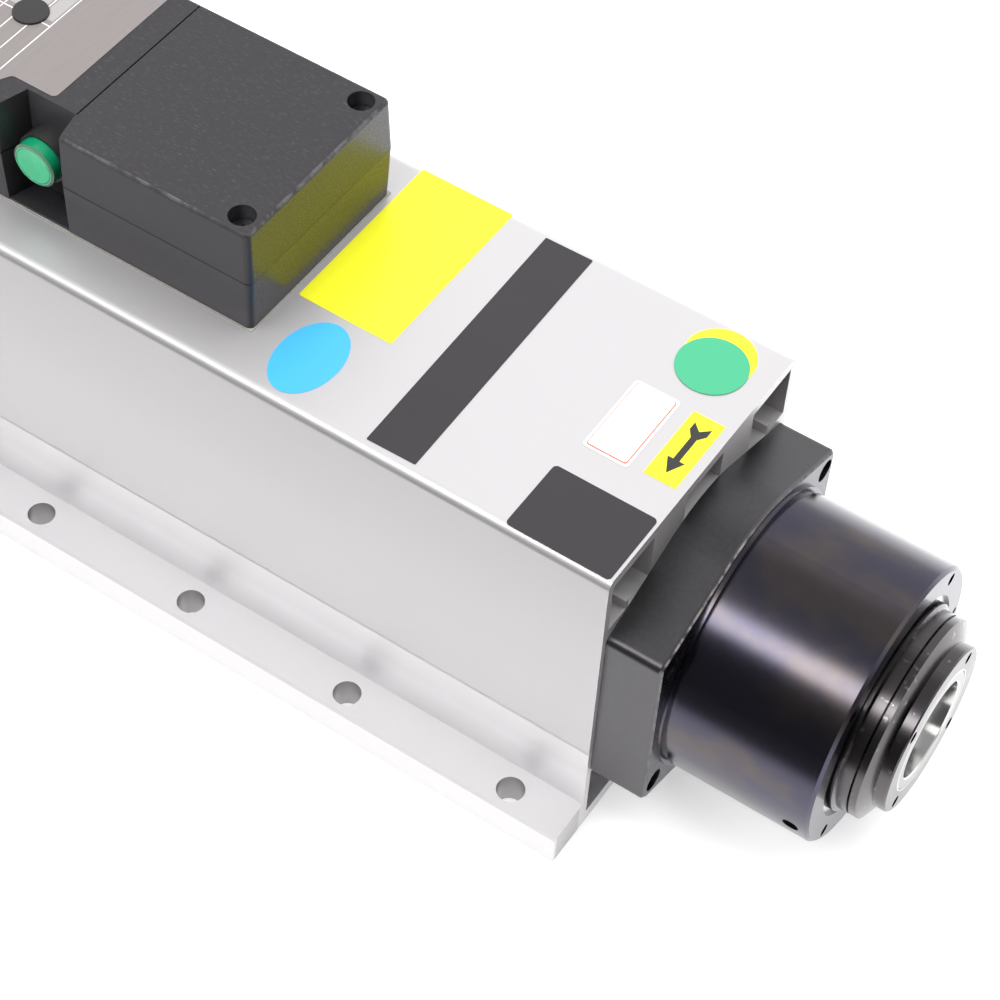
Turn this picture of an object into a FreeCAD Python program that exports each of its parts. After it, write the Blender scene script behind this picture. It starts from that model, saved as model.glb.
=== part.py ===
import FreeCAD, Part
import os
import re
import Sketcher
from FreeCAD import Placement, Rotation, Vector

# Motor spindle with automatic tool change.
# X runs along the spindle's axis towards the nose, Y across, Z up from the mounting face.
# The origin is the middle of the foot rails' hole pattern, on the mounting face.

SIZES = {
    # Extrusion with foot rails, inner tube and air channels
    "body_length": 345.0,
    "body_width": 102.0,
    "body_height": 122.0,
    "axis_height": 61.3,
    "rail_reach": 15.7,
    "rail_thickness": 12.1,
    "rail_chamfer": 0.8,
    "rail_hole_radius": 4.5,
    "rail_hole_offset": 8.2,
    "rail_hole_end": 20.75,
    "rail_hole_rows": 6,
    "skirt_height": 38.9,
    "skirt_groove": 0.6,
    "top_wall": 3.5,
    "side_wall": 2.5,
    "floor_wall": 5.0,
    "body_corner_radius": 3.0,
    "tube_radius": 47.5,
    "tube_bore_radius": 44.0,
    "rib_inner": 10.0,
    "rib_outer": 27.0,
    "upper_channel_floor": 37.7,
    "lower_channel_roof": 34.3,
    "channel_fin_place": 39.0,
    "channel_fin_height": 3.5,
    "channel_fin_thickness": 1.4,
    # Black front bearing housing: plate and nose cylinder
    "plate_thickness": 18.4,
    "plate_half_width": 49.2,
    "plate_corner_rise": 33.2,
    "plate_arch_radius": 48.0,
    "plate_edge_radius": 3.0,
    "plate_chamfer": 1.0,
    "plate_screw_side": 43.75,
    "plate_screw_rise": 28.4,
    "front_screw_seat": 4.0,
    "pilot_length": 12.0,
    "nose_cylinder_radius": 45.3,
    "nose_cylinder_length": 49.7,
    "nose_cylinder_chamfer": 1.0,
    "bead_radius": 46.5,
    "bead_length": 1.4,
    "relief_depth": 0.8,
    "relief_length": 1.6,
    "face_hole_circle": 41.3,
    "face_hole_radius": 2.0,
    "face_hole_depth": 9.0,
    "air_outlet_place": 41.6,
    "air_outlet_radius": 1.3,
    "air_outlet_depth": 6.0,
    "side_hole_radius": 2.3,
    "side_hole_setback": 9.4,
    "side_hole_depth": 5.0,
    "side_hole_angle": 223.0,
    "bearing_shoulder": 3.0,
    # Labyrinth at the nose
    "seal_recess_radius": 36.2,
    "seal_recess_depth": 8.0,
    "cover_setback": 1.2,
    "cover_lip_radius": 34.0,
    "cover_lip_reach": 1.2,
    "collar_radius": 32.6,
    "collar_reach": 5.3,
    "labyrinth_radius": 27.8,
    "labyrinth_gap": 0.4,
    "nose_gap": 0.7,
    "ring_edge_reach": 8.2,
    "ring_cone_reach": 10.7,
    "nose_disc_radius": 27.0,
    "nose_reach": 14.6,
    "nose_ring_chamfer": 0.5,
    "spanner_hole_circle": 23.5,
    "spanner_hole_radius": 1.9,
    "spanner_hole_depth": 5.0,
    # Spindle shaft with its 7:24 taper
    "shaft_nose_radius": 19.5,
    "taper_radius": 15.875,
    "taper_length": 48.0,
    "taper_mouth_chamfer": 0.4,
    "stud_bore_radius": 8.9,
    "stud_bore_length": 8.0,
    "gripper_recess_radius": 11.5,
    "gripper_recess_length": 11.0,
    "gripper_bore_radius": 9.6,
    "gripper_bore_length": 30.0,
    "guide_length": 12.0,
    "rod_bore_radius": 7.0,
    "spring_bore_radius": 10.3,
    "spring_bore_start": -20.0,
    "shaft_collar_radius": 25.0,
    "shaft_collar_length": 6.0,
    "shaft_front_radius": 24.0,
    "rotor_seat_radius": 22.0,
    "shaft_tail_radius": 16.5,
    "shaft_tail_length": 7.0,
    # Bearings
    "front_bearing_bore": 20.0,
    "front_bearing_outer": 34.0,
    "front_bearing_width": 15.0,
    "front_ball_radius": 4.2,
    "front_ball_count": 12,
    "rear_bearing_bore": 17.5,
    "rear_bearing_outer": 31.0,
    "rear_bearing_width": 14.0,
    "rear_ball_radius": 3.9,
    "rear_ball_count": 10,
    "race_land": 2.7,
    "race_clearance": 0.1,
    "cage_thickness": 2.0,
    "cage_side_gap": 1.5,
    "locknut_radius": 25.0,
    "locknut_length": 10.0,
    "locknut_slot_width": 6.0,
    "locknut_slot_depth": 2.5,
    "locknut_foot": 4.0,
    "locknut_bevel": 2.0,
    # Motor
    "motor_length": 150.0,
    "rotor_radius": 30.0,
    "air_gap": 0.5,
    "end_ring_length": 8.0,
    "end_ring_gap": 0.5,
    "end_ring_step": 1.0,
    "winding_length": 23.0,
    "winding_inner": 32.5,
    "winding_outer": 42.0,
    "winding_bevel": 3.0,
    # Tool clamp
    "rod_radius": 6.0,
    "gripper_radius": 9.45,
    "gripper_inner": 6.5,
    "gripper_length": 26.0,
    "gripper_cup_depth": 17.0,
    "gripper_setback": 1.0,
    "gripper_lip": 1.2,
    "gripper_lip_length": 2.0,
    "gripper_slot": 1.5,
    "drawbar_tail": 6.0,
    "drawbar_nut_length": 14.0,
    "drawbar_nut_inset": 1.0,
    "drawbar_end_gap": 1.0,
    "disc_radius": 9.9,
    "disc_bore_radius": 6.3,
    "disc_count": 14,
    "disc_thickness": 4.2,
    "disc_gap": 0.1,
    "slide_clearance": 0.05,
    "fit_gap": 0.02,
    "edge_break": 1.0,
    "fine_edge_break": 0.5,
    # Rear bearing housing
    "rear_plate_thickness": 18.0,
    "rear_hub_inset": 14.5,
    "rear_shoulder_length": 6.0,
    "rear_screw_seat": 8.0,
    # Pneumatic tool release
    "barrel_radius": 44.0,
    "barrel_pocket_radius": 27.5,
    "barrel_pocket_length": 25.0,
    "partition_thickness": 9.0,
    "cylinder_bore_radius": 36.0,
    "cylinder_bore_length": 32.0,
    "push_rod_radius": 9.0,
    "push_gap": 0.3,
    "piston_thickness": 14.0,
    "piston_rear_gap": 0.3,
    "seal_groove_depth": 2.0,
    "seal_groove_width": 3.0,
    "cap_thickness": 14.0,
    "cap_spigot": 4.0,
    "cap_screw_circle": 40.0,
    "port_radius": 4.9,
    "port_depth": 7.0,
    "port_spare_depth": 3.0,
    "port_wall": 1.0,
    "bearing_port_setback": 12.0,
    "cap_screw_grip": 10.0,
    # Rear cowl and fan
    "cowl_length": 118.0,
    "cowl_wall": 2.5,
    "cowl_lift": 2.0,
    "cowl_corner_radius": 6.0,
    "cowl_screw_rise": 20.0,
    "cowl_screw_grip": 8.0,
    "fitting_hole_radius": 7.6,
    "fan_size": 92.5,
    "fan_depth": 25.4,
    "fan_bore_radius": 43.0,
    "fan_hole_half_spacing": 41.25,
    "fan_corner_radius": 5.0,
    "fan_strut_thickness": 4.0,
    "fan_strut_width": 5.0,
    "fan_hub_radius": 17.0,
    "fan_pin_radius": 3.0,
    "fan_blade_count": 7,
    "blade_thickness": 1.6,
    "blade_root_chord": 15.0,
    "blade_middle_chord": 13.0,
    "blade_tip_chord": 10.0,
    "blade_root_sweep": 10.0,
    "blade_middle_sweep": 20.0,
    "blade_tip_sweep": 30.0,
    "fan_tip_gap": 1.2,
    "fan_side_gap": 1.5,
    "grille_thickness": 2.4,
    "grille_ring_width": 1.8,
    "grille_ring_pitch": 7.0,
    "grille_ring_count": 5,
    "grille_core_radius": 7.0,
    "grille_rib_width": 2.4,
    "grille_rim_inset": 0.5,
    "grille_arm_width": 5.6,
    "grille_ear_margin": 1.5,
    # Push-in air fittings
    "fitting_hex_radius": 7.0,
    "fitting_hex_length": 5.0,
    "fitting_sleeve_radius": 6.5,
    "fitting_reach": 6.5,
    "fitting_foot_gap": 0.5,
    "hose_radius": 4.05,
    "hose_depth": 15.0,
    # Terminal box
    "box_front": 39.1,
    "box_rear": -112.0,
    "box_middle": 1.0,
    "box_half_width": 34.6,
    "box_seam_height": 19.5,
    "box_height": 38.5,
    "box_draft": 2.3,
    "box_wall": 2.5,
    "box_floor": 3.0,
    "box_roof": 3.0,
    "box_corner_radius": 2.0,
    "box_edge_radius": 1.5,
    "gasket_thickness": 0.5,
    "gasket_reach": 0.3,
    "lid_split": -30.1,
    "lid_gap": 0.5,
    "notch_left": -48.0,
    "notch_depth": 10.3,
    "notch_rear_flare": 3.0,
    "notch_front_flare": 2.1,
    "lid_screw_setback": 6.3,
    "lid_screw_inset": 6.0,
    "lid_screw_sink": 5.0,
    "lid_boss_radius": 5.2,
    "lid_head_clearance": 0.65,
    "lid_screw_grip": 10.0,
    "plug_place": -68.2,
    "plug_side": 1.5,
    "plug_radius": 5.5,
    "plug_height": 0.9,
    "plug_stem_radius": 3.5,
    # Tool release button
    "button_place": -40.1,
    "button_front": 0.6,
    "button_radius": 7.5,
    "button_length": 8.0,
    "button_show": 4.0,
    "button_stem_radius": 3.5,
    "button_stem_length": 12.0,
    "button_rim": 0.8,
    "button_edge": 0.4,
    "button_wall": 1.2,
    "button_cap_thickness": 3.0,
    "collar_wall": 0.7,
    "collar_clearance": 0.2,
    "collar_length": 13.0,
    "collar_web": 2.0,
    "collar_nut_wall": 1.6,
    "collar_nut_thickness": 3.0,
    "button_spring_wire": 0.9,
    "button_spring_gap": 0.5,
    # Connectors at the rear of the box
    "power_connector_radius": 12.5,
    "signal_connector_radius": 9.0,
    "connector_flange": 3.0,
    "connector_length": 14.0,
    "connector_wall": 2.0,
    "connector_recess": 10.0,
    "power_connector_side": -14.0,
    "signal_connector_side": 18.0,
    "connector_rise": 20.5,
    # Terminal block
    "block_length": 44.0,
    "block_width": 20.0,
    "block_height": 14.0,
    "block_place": 4.0,
    "block_pole_count": 5,
    "block_well_radius": 2.5,
    # Socket screws
    "m4_shank": 2.0,
    "m4_head": 3.5,
    "m4_head_height": 4.0,
    "m4_socket": 1.5,
    "m4_socket_depth": 2.4,
    "m4_length": 14.0,
    "screw_clearance": 0.25,
    "head_clearance": 0.25,
}

# Stations along X, as formulas of the sizes
BODY_FRONT = "(body_length / 2)"
BODY_REAR = "(-body_length / 2)"
PLATE_FRONT = f"({BODY_FRONT} + plate_thickness)"
CYLINDER_FACE = f"({PLATE_FRONT} + nose_cylinder_length)"
NOSE_FACE = f"({CYLINDER_FACE} + nose_reach)"
SEAL_SEAT = f"({CYLINDER_FACE} - seal_recess_depth)"
FRONT_SHOULDER = f"({SEAL_SEAT} - 2 * front_bearing_width)"
TAPER_END = f"({NOSE_FACE} - taper_length)"
RECESS_FRONT = f"({TAPER_END} - stud_bore_length)"
RECESS_REAR = f"({RECESS_FRONT} - gripper_recess_length)"
GUIDE_FRONT = f"({RECESS_REAR} - gripper_bore_length)"
GUIDE_REAR = f"({GUIDE_FRONT} - guide_length)"
REAR_SHOULDER = f"({BODY_REAR} + rear_hub_inset)"
REAR_STACK_END = f"({REAR_SHOULDER} - 2 * rear_bearing_width)"
REAR_PLATE_BACK = f"({BODY_REAR} - rear_plate_thickness)"
SHAFT_END = f"({REAR_STACK_END} - locknut_length - shaft_tail_length)"
DRAWBAR_END = f"({SHAFT_END} - drawbar_tail)"
POCKET_END = f"({REAR_PLATE_BACK} - barrel_pocket_length)"
PISTON_BORE_FRONT = f"({POCKET_END} - partition_thickness)"
BARREL_END = f"({PISTON_BORE_FRONT} - cylinder_bore_length)"
CAP_END = f"({BARREL_END} - cap_thickness)"
PISTON_REAR = f"({BARREL_END} + cap_spigot + piston_rear_gap)"
PISTON_FRONT = f"({PISTON_REAR} + piston_thickness)"
COWL_END = f"({BODY_REAR} - cowl_length)"
FAN_END = f"({COWL_END} - fan_depth)"
GRILLE_END = f"({FAN_END} - grille_thickness)"
BOX_BOTTOM = "(body_height - axis_height + gasket_thickness)"

# How far a cutting shape reaches past the faces that it cuts, in millimetres
PAST = "2"

doc = FreeCAD.newDocument("motor_spindle")
sheet = doc.addObject("Spreadsheet::Sheet", "Sizes")
for row, (alias, value) in enumerate(SIZES.items(), start=1):
    sheet.set(f"A{row}", alias)
    sheet.set(f"B{row}", str(value))
    sheet.setAlias(f"B{row}", alias)
doc.recompute()

nodes = []


# Reading and binding sizes

def bound(formula):
    """The formula with the sheet's name before each of its sizes."""
    return re.sub(
        r"[a-z][a-z_0-9]*",
        lambda word: f"Sizes.{word.group()}" if word.group() in SIZES else word.group(),
        str(formula),
    )


def number(formula):
    """The formula's present value, in millimetres, degrees or a count."""
    value = sheet.evalExpression(str(formula))
    return float(getattr(value, "Value", value))


def bind(thing, place, formula):
    thing.setExpression(place, bound(formula))


# Bodies, sketches and features

def new_body(label, x="0", y="0", z="axis_height", several=False):
    body = doc.addObject("PartDesign::Body", label)
    body.Label = label
    body.AllowCompound = several
    for axis, formula in zip("xyz", (x, y, z)):
        bind(body, f"Placement.Base.{axis}", formula)
    nodes.append(body)
    return body


def new_sketch(body, name, role, offset="0"):
    plane = next(item for item in body.Origin.OriginFeatures if item.Role == role)
    sketch = body.newObject("Sketcher::SketchObject", name)
    sketch.AttachmentSupport = [(plane, "")]
    sketch.MapMode = "FlatFace"
    sketch.AttachmentOffset = Placement(Vector(0, 0, number(offset)), Rotation())
    bind(sketch, "AttachmentOffset.Base.z", offset)
    return sketch


def hold_point(sketch, curve, end, x, y):
    """Tie one point of a curve to its distances from the sketch's origin."""
    for kind, formula in (("DistanceX", x), ("DistanceY", y)):
        rule = Sketcher.Constraint(kind, -1, 1, curve, end, number(formula))
        index = sketch.addConstraint(rule)
        bind(sketch, f"Constraints[{index}]", formula)


def hold_radius(sketch, curve, radius):
    index = sketch.addConstraint(Sketcher.Constraint("Radius", curve, number(radius)))
    bind(sketch, f"Constraints[{index}]", radius)


def arc_between(start, end, radius, turns_left):
    """A circle's short arc from start to end. turns_left puts its centre left of the way."""
    middle = (start + end) * 0.5
    along = end - start
    half = along.Length / 2
    side = Vector(-along.y, along.x, 0).normalize()
    reach = max(radius * radius - half * half, 0.0) ** 0.5
    centre = middle + side * (reach if turns_left else -reach)
    circle = Part.Circle(centre, Vector(0, 0, 1), radius)
    first, last = circle.parameter(start), circle.parameter(end)
    if turns_left:
        return Part.ArcOfCircle(circle, first, last)
    return Part.ArcOfCircle(circle, last, first)


def draw_loop(sketch, points, arcs=None):
    """A closed loop through points, pairs of formulas.

    arcs maps a point's index to (radius, turns_left) for the stretch that starts there.
    """
    arcs = arcs or {}
    places = [Vector(number(x), number(y), 0) for x, y in points]
    ends = []
    for index, start in enumerate(places):
        finish = places[(index + 1) % len(places)]
        if index in arcs:
            radius, turns_left = arcs[index]
            curve = sketch.addGeometry(arc_between(start, finish, number(radius), turns_left))
            ends.append((curve, 1, 2) if turns_left else (curve, 2, 1))
        else:
            ends.append((sketch.addGeometry(Part.LineSegment(start, finish)), 1, 2))
    for index, (curve, first, last) in enumerate(ends):
        following, following_first, _ = ends[(index + 1) % len(ends)]
        sketch.addConstraint(
            Sketcher.Constraint("Coincident", curve, last, following, following_first)
        )
        hold_point(sketch, curve, first, *points[index])
        if index in arcs:
            hold_radius(sketch, curve, arcs[index][0])


def draw_circle(sketch, x, y, radius):
    curve = sketch.addGeometry(
        Part.Circle(Vector(number(x), number(y), 0), Vector(0, 0, 1), number(radius))
    )
    hold_point(sketch, curve, 3, x, y)
    hold_radius(sketch, curve, radius)


def draw_box(sketch, x_low, x_high, y_low, y_high):
    draw_loop(sketch, [(x_low, y_low), (x_high, y_low), (x_high, y_high), (x_low, y_high)])


def mirrored(points):
    """The points and their mirror images across the sketch's upright axis, as one loop."""
    return points + [(f"-({x})", y) for x, y in reversed(points)]


def add_feature(body, kind, sketch, **settings):
    feature = body.newObject(f"PartDesign::{kind}", f"{sketch.Name}_{kind.lower()}")
    feature.Profile = sketch
    for name, value in settings.items():
        setattr(feature, name, value)
    sketch.Visibility = False
    return feature


def pad(body, sketch, length, middle=False, reverse=False, taper=None):
    feature = add_feature(body, "Pad", sketch, Midplane=middle, Reversed=reverse)
    bind(feature, "Length", length)
    if taper is not None:
        bind(feature, "TaperAngle", taper)
    doc.recompute()
    return feature


def pocket(body, sketch, length=None, reverse=False):
    """Cut a sketch's shape: through everything both ways, or to a depth."""
    before = body.Shape.Volume
    if length is None:
        feature = add_feature(body, "Pocket", sketch, Type="ThroughAll", Midplane=True)
    else:
        feature = add_feature(body, "Pocket", sketch, Type="Length", Reversed=reverse)
        bind(feature, "Length", length)
    doc.recompute()
    if not body.Shape.Volume < before:
        raise RuntimeError(f"{feature.Name} cuts nothing")
    return feature


def turn(body, sketch, kind="Revolution", axis="H_Axis"):
    feature = add_feature(body, kind, sketch, ReferenceAxis=(sketch, [axis]), Angle=360)
    doc.recompute()
    return feature


def around_axis(body, feature, count, role="X_Axis"):
    axis = next(item for item in body.Origin.OriginFeatures if item.Role == role)
    pattern = body.newObject("PartDesign::PolarPattern", f"{feature.Name}_pattern")
    pattern.Originals = [feature]
    pattern.Axis = (axis, [""])
    pattern.Angle = 360
    bind(pattern, "Occurrences", count)
    body.Tip = pattern
    doc.recompute()
    return pattern


def dress_edges(body, kind, size, wanted):
    """Round or chamfer each edge of the body for which wanted(edge) is true."""
    base = body.Tip
    names = [f"Edge{i}" for i, edge in enumerate(base.Shape.Edges, start=1) if wanted(edge)]
    feature = body.newObject(f"PartDesign::{kind}", f"{base.Name}_{kind.lower()}")
    feature.Base = (base, names)
    bind(feature, "Radius" if kind == "Fillet" else "Size", size)
    doc.recompute()
    return feature


def turned_body(label, loops, several=False, **place):
    """A body turned about X from closed loops of (x, radius) formulas."""
    body = new_body(label, several=several, **place)
    sketch = new_sketch(body, f"{label}_profile", "XZ_Plane")
    for points in loops:
        draw_loop(sketch, points)
    turn(body, sketch)
    return body


def new_feature(label, shape):
    feature = doc.addObject("Part::Feature", label)
    feature.Label = label
    feature.Shape = shape
    feature.Placement = Placement()
    nodes.append(feature)
    return feature


def runs_along(edge, axis):
    """Whether a straight edge is parallel to a row axis."""
    if not isinstance(edge.Curve, Part.Line):
        return False
    return abs(edge.Curve.Direction.dot(axis)) > 0.999


# Aluminium extrusion

def make_body_extrusion():
    body = new_body("body_extrusion")
    base = "-axis_height"
    side = "body_width / 2"
    section = new_sketch(body, "extrusion_section", "YZ_Plane")
    right_side = [
        (f"{side} + rail_reach", base),
        (f"{side} + rail_reach", f"{base} + rail_thickness"),
        (side, f"{base} + rail_thickness"),
        (side, f"{base} + skirt_height - skirt_groove"),
        (f"{side} - skirt_groove", f"{base} + skirt_height"),
        (side, f"{base} + skirt_height + skirt_groove"),
        (side, "body_height - axis_height"),
    ]
    draw_loop(section, mirrored(right_side))
    pad(body, section, "body_length", middle=True)
    top = number("body_height - axis_height")
    rail_top = number("rail_thickness - axis_height")
    along_x = Vector(1, 0, 0)
    dress_edges(
        body, "Fillet", "body_corner_radius",
        lambda edge: runs_along(edge, along_x) and abs(edge.CenterOfMass.z - top) < 0.01,
    )
    dress_edges(
        body, "Chamfer", "rail_chamfer",
        lambda edge: runs_along(edge, along_x)
        and abs(edge.CenterOfMass.z - rail_top) < 0.01
        and abs(edge.CenterOfMass.y) > number("body_width / 2 + 1"),
    )
    bore = new_sketch(body, "stator_bore", "YZ_Plane")
    draw_circle(bore, "0", "0", "tube_bore_radius")
    pocket(body, bore)
    cut_air_channels(body)
    cut_screw_holes(body)
    return body


def cut_air_channels(body):
    """Cooling air runs between the tube and the outer walls, past ribs above and below."""
    ceiling = "body_height - axis_height - top_wall"
    floor = "floor_wall - axis_height"
    wall = "body_width / 2 - side_wall"
    channels = new_sketch(body, "air_channels", "YZ_Plane")

    def on_tube(across):
        return f"sqrt(tube_radius ^ 2 - ({across}) ^ 2)"

    for sign, outside in (("", ceiling), ("-", floor)):
        middle = [
            ("-rib_inner", f"{sign}{on_tube('rib_inner')}"),
            ("rib_inner", f"{sign}{on_tube('rib_inner')}"),
            ("rib_inner", outside),
            ("-rib_inner", outside),
        ]
        draw_loop(channels, middle, {0: ("tube_radius", sign == "-")})
    for side in ("", "-"):
        fin_inner = f"{side}(channel_fin_place - channel_fin_thickness / 2)"
        fin_outer = f"{side}(channel_fin_place + channel_fin_thickness / 2)"
        upper = [
            (f"{side}rib_outer", on_tube("rib_outer")),
            (f"{side}{on_tube('upper_channel_floor')}", "upper_channel_floor"),
            (fin_inner, "upper_channel_floor"),
            (fin_inner, "upper_channel_floor + channel_fin_height"),
            (fin_outer, "upper_channel_floor + channel_fin_height"),
            (fin_outer, "upper_channel_floor"),
            (f"{side}({wall})", "upper_channel_floor"),
            (f"{side}({wall})", ceiling),
            (f"{side}rib_outer", ceiling),
        ]
        draw_loop(channels, upper, {0: ("tube_radius", side == "-")})
        lower = [
            (f"{side}rib_outer", f"-{on_tube('rib_outer')}"),
            (f"{side}{on_tube('lower_channel_roof')}", "-lower_channel_roof"),
            (f"{side}({wall})", "-lower_channel_roof"),
            (f"{side}({wall})", floor),
            (f"{side}rib_outer", floor),
        ]
        draw_loop(channels, lower, {0: ("tube_radius", side == "")})
    pocket(body, channels)


def cut_screw_holes(body):
    rails = new_sketch(body, "rail_holes", "XY_Plane", "-axis_height")
    pitch = "((body_length - 2 * rail_hole_end) / (rail_hole_rows - 1))"
    for row in range(int(number("rail_hole_rows"))):
        along = f"{pitch} * ({row} - (rail_hole_rows - 1) / 2)"
        for side in ("", "-"):
            across = f"{side}(body_width / 2 + rail_hole_offset)"
            draw_circle(rails, along, across, "rail_hole_radius")
    pocket(body, rails)
    tapped = new_sketch(body, "plate_screw_holes", "YZ_Plane")
    for y, z in corner_places("plate_screw_side", "plate_screw_rise"):
        draw_circle(tapped, y, z, "m4_shank + fit_gap")
    pocket(body, tapped)


def corner_places(across, up):
    """Four places, mirrored about the spindle's axis."""
    return [(f"{a}({across})", f"{b}({up})") for a in ("", "-") for b in ("", "-")]


# Plates of the two bearing housings

def draw_arched_plate(sketch, half_width):
    """Flat sides, and an arch above and below that slants from each corner onto a circle."""
    corner = f"hypot({half_width}; plate_corner_rise)"
    rise = f"(atan2(plate_corner_rise; {half_width}) + acos(plate_arch_radius / {corner}))"
    touch_y = f"plate_arch_radius * cos({rise})"
    touch_z = f"plate_arch_radius * sin({rise})"
    points = [
        (half_width, "-plate_corner_rise"),
        (half_width, "plate_corner_rise"),
        (touch_y, touch_z),
        (f"-{touch_y}", touch_z),
        (f"-({half_width})", "plate_corner_rise"),
        (f"-({half_width})", "-plate_corner_rise"),
        (f"-{touch_y}", f"-{touch_z}"),
        (touch_y, f"-{touch_z}"),
    ]
    arch = ("plate_arch_radius", True)
    draw_loop(sketch, points, {2: arch, 6: arch})


def round_plate_corners(body, half_width):
    def at_corner(edge):
        along = runs_along(edge, Vector(1, 0, 0))
        return along and abs(abs(edge.CenterOfMass.y) - number(half_width)) < 0.01

    dress_edges(body, "Fillet", "plate_edge_radius", at_corner)


def make_front_bearing_housing():
    body = new_body("front_bearing_housing")
    plate = new_sketch(body, "front_plate", "YZ_Plane", BODY_FRONT)
    draw_arched_plate(plate, "plate_half_width")
    pad(body, plate, "plate_thickness")
    round_plate_corners(body, "plate_half_width")
    front = number(PLATE_FRONT)
    dress_edges(
        body, "Chamfer", "plate_chamfer",
        lambda edge: abs(edge.BoundBox.XMin - front) < 0.01 and edge.BoundBox.XLength < 0.01,
    )
    pilot_end = f"({BODY_FRONT} - pilot_length)"
    pilot = "tube_bore_radius - fit_gap"
    groove = "nose_cylinder_radius - relief_depth"
    shoulder = "front_bearing_outer - bearing_shoulder"
    profile = new_sketch(body, "nose_cylinder", "XZ_Plane")
    draw_loop(profile, [
        (pilot_end, shoulder),
        (pilot_end, pilot),
        (BODY_FRONT, pilot),
        (f"{BODY_FRONT} + plate_thickness / 2", pilot),
        (f"{BODY_FRONT} + plate_thickness / 2", "nose_cylinder_radius"),
        (f"{PLATE_FRONT} - plate_chamfer", "nose_cylinder_radius"),
        (f"{PLATE_FRONT} - plate_chamfer", "bead_radius"),
        (f"{PLATE_FRONT} + bead_length", "bead_radius"),
        (f"{PLATE_FRONT} + bead_length", groove),
        (f"{PLATE_FRONT} + bead_length + relief_length", groove),
        (f"{PLATE_FRONT} + bead_length + relief_length", "nose_cylinder_radius"),
        (f"{CYLINDER_FACE} - nose_cylinder_chamfer", "nose_cylinder_radius"),
        (CYLINDER_FACE, "nose_cylinder_radius - nose_cylinder_chamfer"),
        (CYLINDER_FACE, "seal_recess_radius"),
        (SEAL_SEAT, "seal_recess_radius"),
        (SEAL_SEAT, "front_bearing_outer"),
        (FRONT_SHOULDER, "front_bearing_outer"),
        (FRONT_SHOULDER, shoulder),
    ])
    turn(body, profile)
    cut_plate_bores(body)
    cut_nose_holes(body)
    return body


def cut_plate_bores(body):
    """The plate is bored out to the housing's inside, and drilled for four sunk screws."""
    core = new_sketch(body, "housing_core", "YZ_Plane", f"{PLATE_FRONT} + bead_length")
    draw_circle(core, "0", "0", "front_bearing_outer - bearing_shoulder")
    pocket(body, core, "plate_thickness + pilot_length + bead_length")
    heads = new_sketch(body, "front_screw_heads", "YZ_Plane", PLATE_FRONT)
    shanks = new_sketch(body, "front_screw_shanks", "YZ_Plane", PLATE_FRONT)
    for y, z in corner_places("plate_screw_side", "plate_screw_rise"):
        draw_circle(heads, y, z, "m4_head + head_clearance")
        draw_circle(shanks, y, z, "m4_shank + screw_clearance")
    pocket(body, heads, "plate_thickness - front_screw_seat")
    pocket(body, shanks, "plate_thickness + pilot_length")


def cut_nose_holes(body):
    """Four tapped holes in the face, one air outlet beside them and one hole in the side."""
    face = new_sketch(body, "face_holes", "YZ_Plane", CYLINDER_FACE)
    for angle in (45, 135, 225, 315):
        draw_circle(
            face,
            f"face_hole_circle * sin({angle})",
            f"face_hole_circle * cos({angle})",
            "face_hole_radius",
        )
    pocket(body, face, "face_hole_depth")
    outlet = new_sketch(body, "air_outlet", "YZ_Plane", CYLINDER_FACE)
    draw_circle(outlet, "air_outlet_place", "0", "air_outlet_radius")
    pocket(body, outlet, "air_outlet_depth")
    foot = "(nose_cylinder_radius - side_hole_depth)"
    hole = body.newObject("PartDesign::SubtractiveCylinder", "side_hole")
    bind(hole, "Radius", "side_hole_radius")
    bind(hole, "Height", f"side_hole_depth + {PAST}")
    hole.Placement = Placement(Vector(), Rotation(Vector(-1, 0, 0), number("side_hole_angle")))
    bind(hole, "Placement.Base.x", f"{CYLINDER_FACE} - side_hole_setback")
    bind(hole, "Placement.Base.y", f"{foot} * sin(side_hole_angle)")
    bind(hole, "Placement.Base.z", f"{foot} * cos(side_hole_angle)")
    bind(hole, "Placement.Rotation.Angle", "side_hole_angle")
    doc.recompute()


# Nose: fixed cover, turning ring and shaft

def make_front_seal_cover():
    bore = "labyrinth_radius + labyrinth_gap"
    rim = "seal_recess_radius - fit_gap"
    flange = f"{CYLINDER_FACE} - cover_setback"
    lip = f"{CYLINDER_FACE} + cover_lip_reach"
    turned_body("front_seal_cover", [[
        (SEAL_SEAT, bore),
        (SEAL_SEAT, rim),
        (flange, rim),
        (flange, "cover_lip_radius"),
        (lip, "cover_lip_radius"),
        (f"{lip} + (cover_lip_radius - collar_radius) / 2", "collar_radius"),
        (f"{CYLINDER_FACE} + collar_reach", "collar_radius"),
        (f"{CYLINDER_FACE} + collar_reach", bore),
    ]])


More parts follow.
